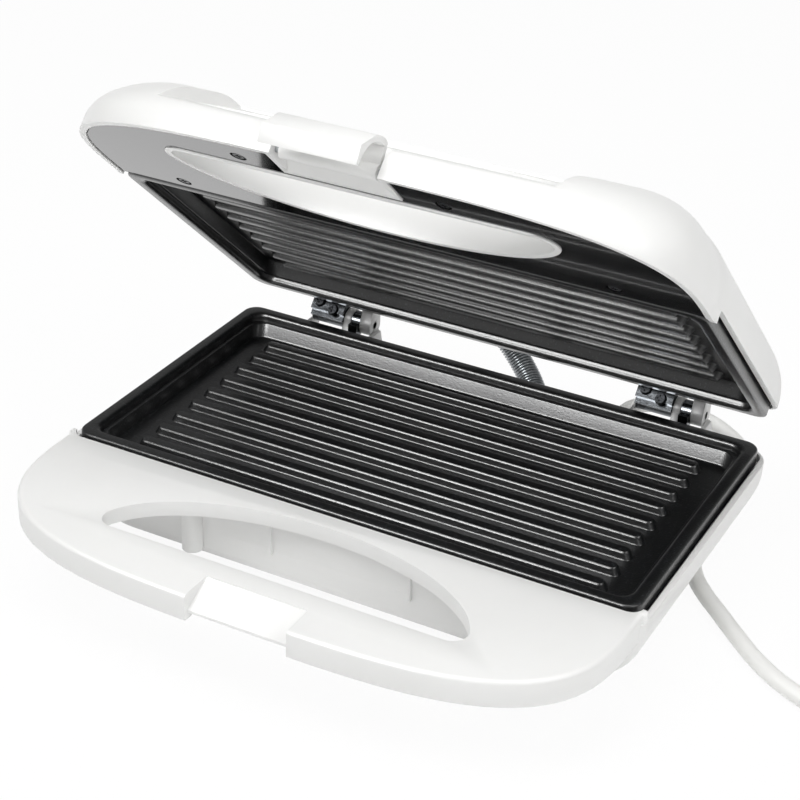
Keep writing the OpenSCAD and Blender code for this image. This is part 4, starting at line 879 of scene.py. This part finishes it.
wire_gauge, winding_pitch, per_turn = 0.55, 1.32, 14
turns = int((runs[-1] - 2) / winding_pitch)
wire_line = [ring_round(1 + k * winding_pitch / per_turn, conduit_radius - wire_gauge,
                        2 * math.pi * k / per_turn) for k in range(turns * per_turn + 1)]
winding = bpy.data.curves.new("winding", "CURVE")
winding.dimensions = "3D"
path = winding.splines.new("POLY")
path.points.add(len(wire_line) - 1)
for point, spot in zip(path.points, wire_line):
    point.co = (spot.x / 1000, spot.y / 1000, spot.z / 1000, 1)
tree, keys = start_tree("wire_along_winding", {"Gauge": "Float", "Sides": "Int", "Finish": "Material"})
given = add_node(tree, "NodeGroupInput")
wire_section = add_node(tree, "GeometryNodeCurvePrimitiveCircle", {"Resolution": given.outputs["Sides"],
                                                                   "Radius": given.outputs["Gauge"]})
swept = add_node(tree, "GeometryNodeCurveToMesh",
                 {"Curve": given.outputs["Geometry"], "Profile Curve": wire_section.outputs[0],
                  "Fill Caps": True})
real = add_node(tree, "GeometryNodeRealizeInstances", {"Geometry": swept.outputs[0]})
smooth = add_node(tree, "GeometryNodeSetShadeSmooth", {"Geometry": real.outputs[0]})
coated = add_node(tree, "GeometryNodeSetMaterial", {"Geometry": smooth.outputs[0],
                                                   "Material": given.outputs["Finish"]})
add_node(tree, "NodeGroupOutput", {"Geometry": coated.outputs[0]})
spring_conduit = new_object("spring_conduit", grown_mesh(new_object("winding", winding), tree, keys, {
    "Gauge": wire_gauge / 1000, "Sides": 8, "Finish": spring_wire}))
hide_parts("conduit_spring")

sleeve_radius, sleeve_sides, sleeve_rings = 3.8, 20, 61
points = [ring_round(runs[-1] * k / (sleeve_rings - 1), sleeve_radius, 2 * math.pi * j / sleeve_sides)
          for k in range(sleeve_rings) for j in range(sleeve_sides)]
ends = [tuple(range(sleeve_sides)), tuple(range(len(points) - sleeve_sides, len(points)))]
lead_sleeve = mesh_piece("lead_sleeve", points, ring_faces(sleeve_rings, sleeve_sides) + ends, foot_rubber)
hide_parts("conduit_sleeve")
for piece in (spring_conduit, lead_sleeve):
    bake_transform(piece)

# ---- Latch ----
# A white ABS clip two fingers wide, turning on a steel pin in the lid's front.
# Its curved wall snaps over the lower grip's edge and its flat hook holds under the ramp.
latch_y, latch_z, latch_swing = grip_y0 + 4.5, lid_rim + 3.2, math.radians(75)


def lifted(shape):
    """Turns points drawn for the locked latch, its pin at the origin, to where it stands in the open lid."""
    points, faces = shape
    c, s = math.cos(latch_swing), math.sin(latch_swing)
    return opened(([(x, latch_y + c * y + s * z, latch_z - s * y + c * z) for x, y, z in points], faces))


arc = [(1.1 + 10.5 * math.cos(math.radians(t)), -5.2 + 10.5 * math.sin(math.radians(t)))
       for t in range(258, 143, -6)]
clip_outline = [(-0.2, -17.5), (-0.2, -15.7), (-1.0, -15.5)] + arc + [
    (-7.2, 1.0), (-9.3, 1.0), (-10.3, 0.3), (-11.0, -1.6), (-11.35, -4.2), (-11.35, -7.2), (-11.0, -8.8),
    (-6.6, -17.5)]
latch = carved("latch", lifted(prism(clip_outline, "X", -18, 18)), [
    ("UNION", lifted(block((-17.99, -8.4, -1.0), (17.99, 0, 1.0)))),
    ("UNION", lifted(round_bar("X", (0, 0), -17.98, 17.98, 2.8, 40))),
    ("DIFFERENCE", lifted(round_bar("X", (0, 0), -20, 20, 1.3, 32)))], white_abs, edge=0.35)
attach(latch, "latch")
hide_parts("latch_clip")

# ---- Studio ----
# A pale floor, a surround that is full white to the camera and through the lenses and dim to all else,
# three soft lamps, and a strip that lights nothing and shows only as a sheen on glossy faces.
floor_finish, tree = start_finish("pale_floor")[:2]
paint = add_node(tree, "ShaderNodeBsdfDiffuse", {"Color": linear("#fbfbfb")})
glow = add_node(tree, "ShaderNodeEmission", {"Color": (1.0, 1.0, 1.0, 1.0), "Strength": 1.0})
ray = add_node(tree, "ShaderNodeLightPath")
seen = add_node(tree, "ShaderNodeMath", {0: ray.outputs["Is Camera Ray"], 1: ray.outputs["Is Glossy Ray"]},
                operation="ADD")
seen_all = add_node(tree, "ShaderNodeMath", {0: seen.outputs[0], 1: ray.outputs["Is Transmission Ray"]},
                    operation="ADD")
share = add_node(tree, "ShaderNodeMath", {0: seen_all.outputs[0], 1: 0.94}, operation="MULTIPLY")
share.use_clamp = True
both = add_node(tree, "ShaderNodeMixShader", {0: share.outputs[0], 1: paint.outputs[0], 2: glow.outputs[0]})
add_node(tree, "ShaderNodeOutputMaterial", {"Surface": both.outputs[0]})
floor = mesh_piece("floor", [(3000 * x, 3000 * y, -0.2) for x, y in ((-1, -1), (1, -1), (1, 1), (-1, 1))],
                   [(0, 1, 2, 3)], floor_finish)

world = bpy.data.worlds.new("surround")
bpy.context.scene.world = world
world.use_nodes = True
tree = world.node_tree
tree.nodes.clear()
ray = add_node(tree, "ShaderNodeLightPath")
seen = add_node(tree, "ShaderNodeMath",
                {0: ray.outputs["Is Camera Ray"], 1: ray.outputs["Is Transmission Ray"]},
                operation="MAXIMUM")
level_mix = add_node(tree, "ShaderNodeMapRange", {"Value": seen.outputs[0], "To Min": 0.23, "To Max": 1.0})
sky = add_node(tree, "ShaderNodeBackground",
               {"Color": (1.0, 1.0, 1.0, 1.0), "Strength": level_mix.outputs[0]})
add_node(tree, "ShaderNodeOutputWorld", {"Surface": sky.outputs[0]})

for name, spot, size, height, power, lights_matt in (
        ("key_lamp", (-0.36, -0.70, 1.26), 0.75, 0.8, 9.0, True),
        ("top_lamp", (0.05, -0.1, 1.32), 0.9, 0.9, 5.8, True),
        ("side_lamp", (1.0, -0.3, 0.9), 0.7, 0.7, 5.6, True),
        ("sheen_strip", (-0.45, -1.0, 0.84), 0.7, 0.42, 24.0, False)):
    data = bpy.data.lights.new(name, "AREA")
    data.shape, data.size, data.size_y, data.energy = "RECTANGLE", size, height, power
    lamp = new_object(name, data)
    lamp.location = spot
    lamp.rotation_euler = (Vector((0, 0, 0.05)) - Vector(spot)).to_track_quat("-Z", "Y").to_euler()
    lamp.visible_diffuse = lights_matt

bpy.context.scene.view_settings.view_transform = "Standard"
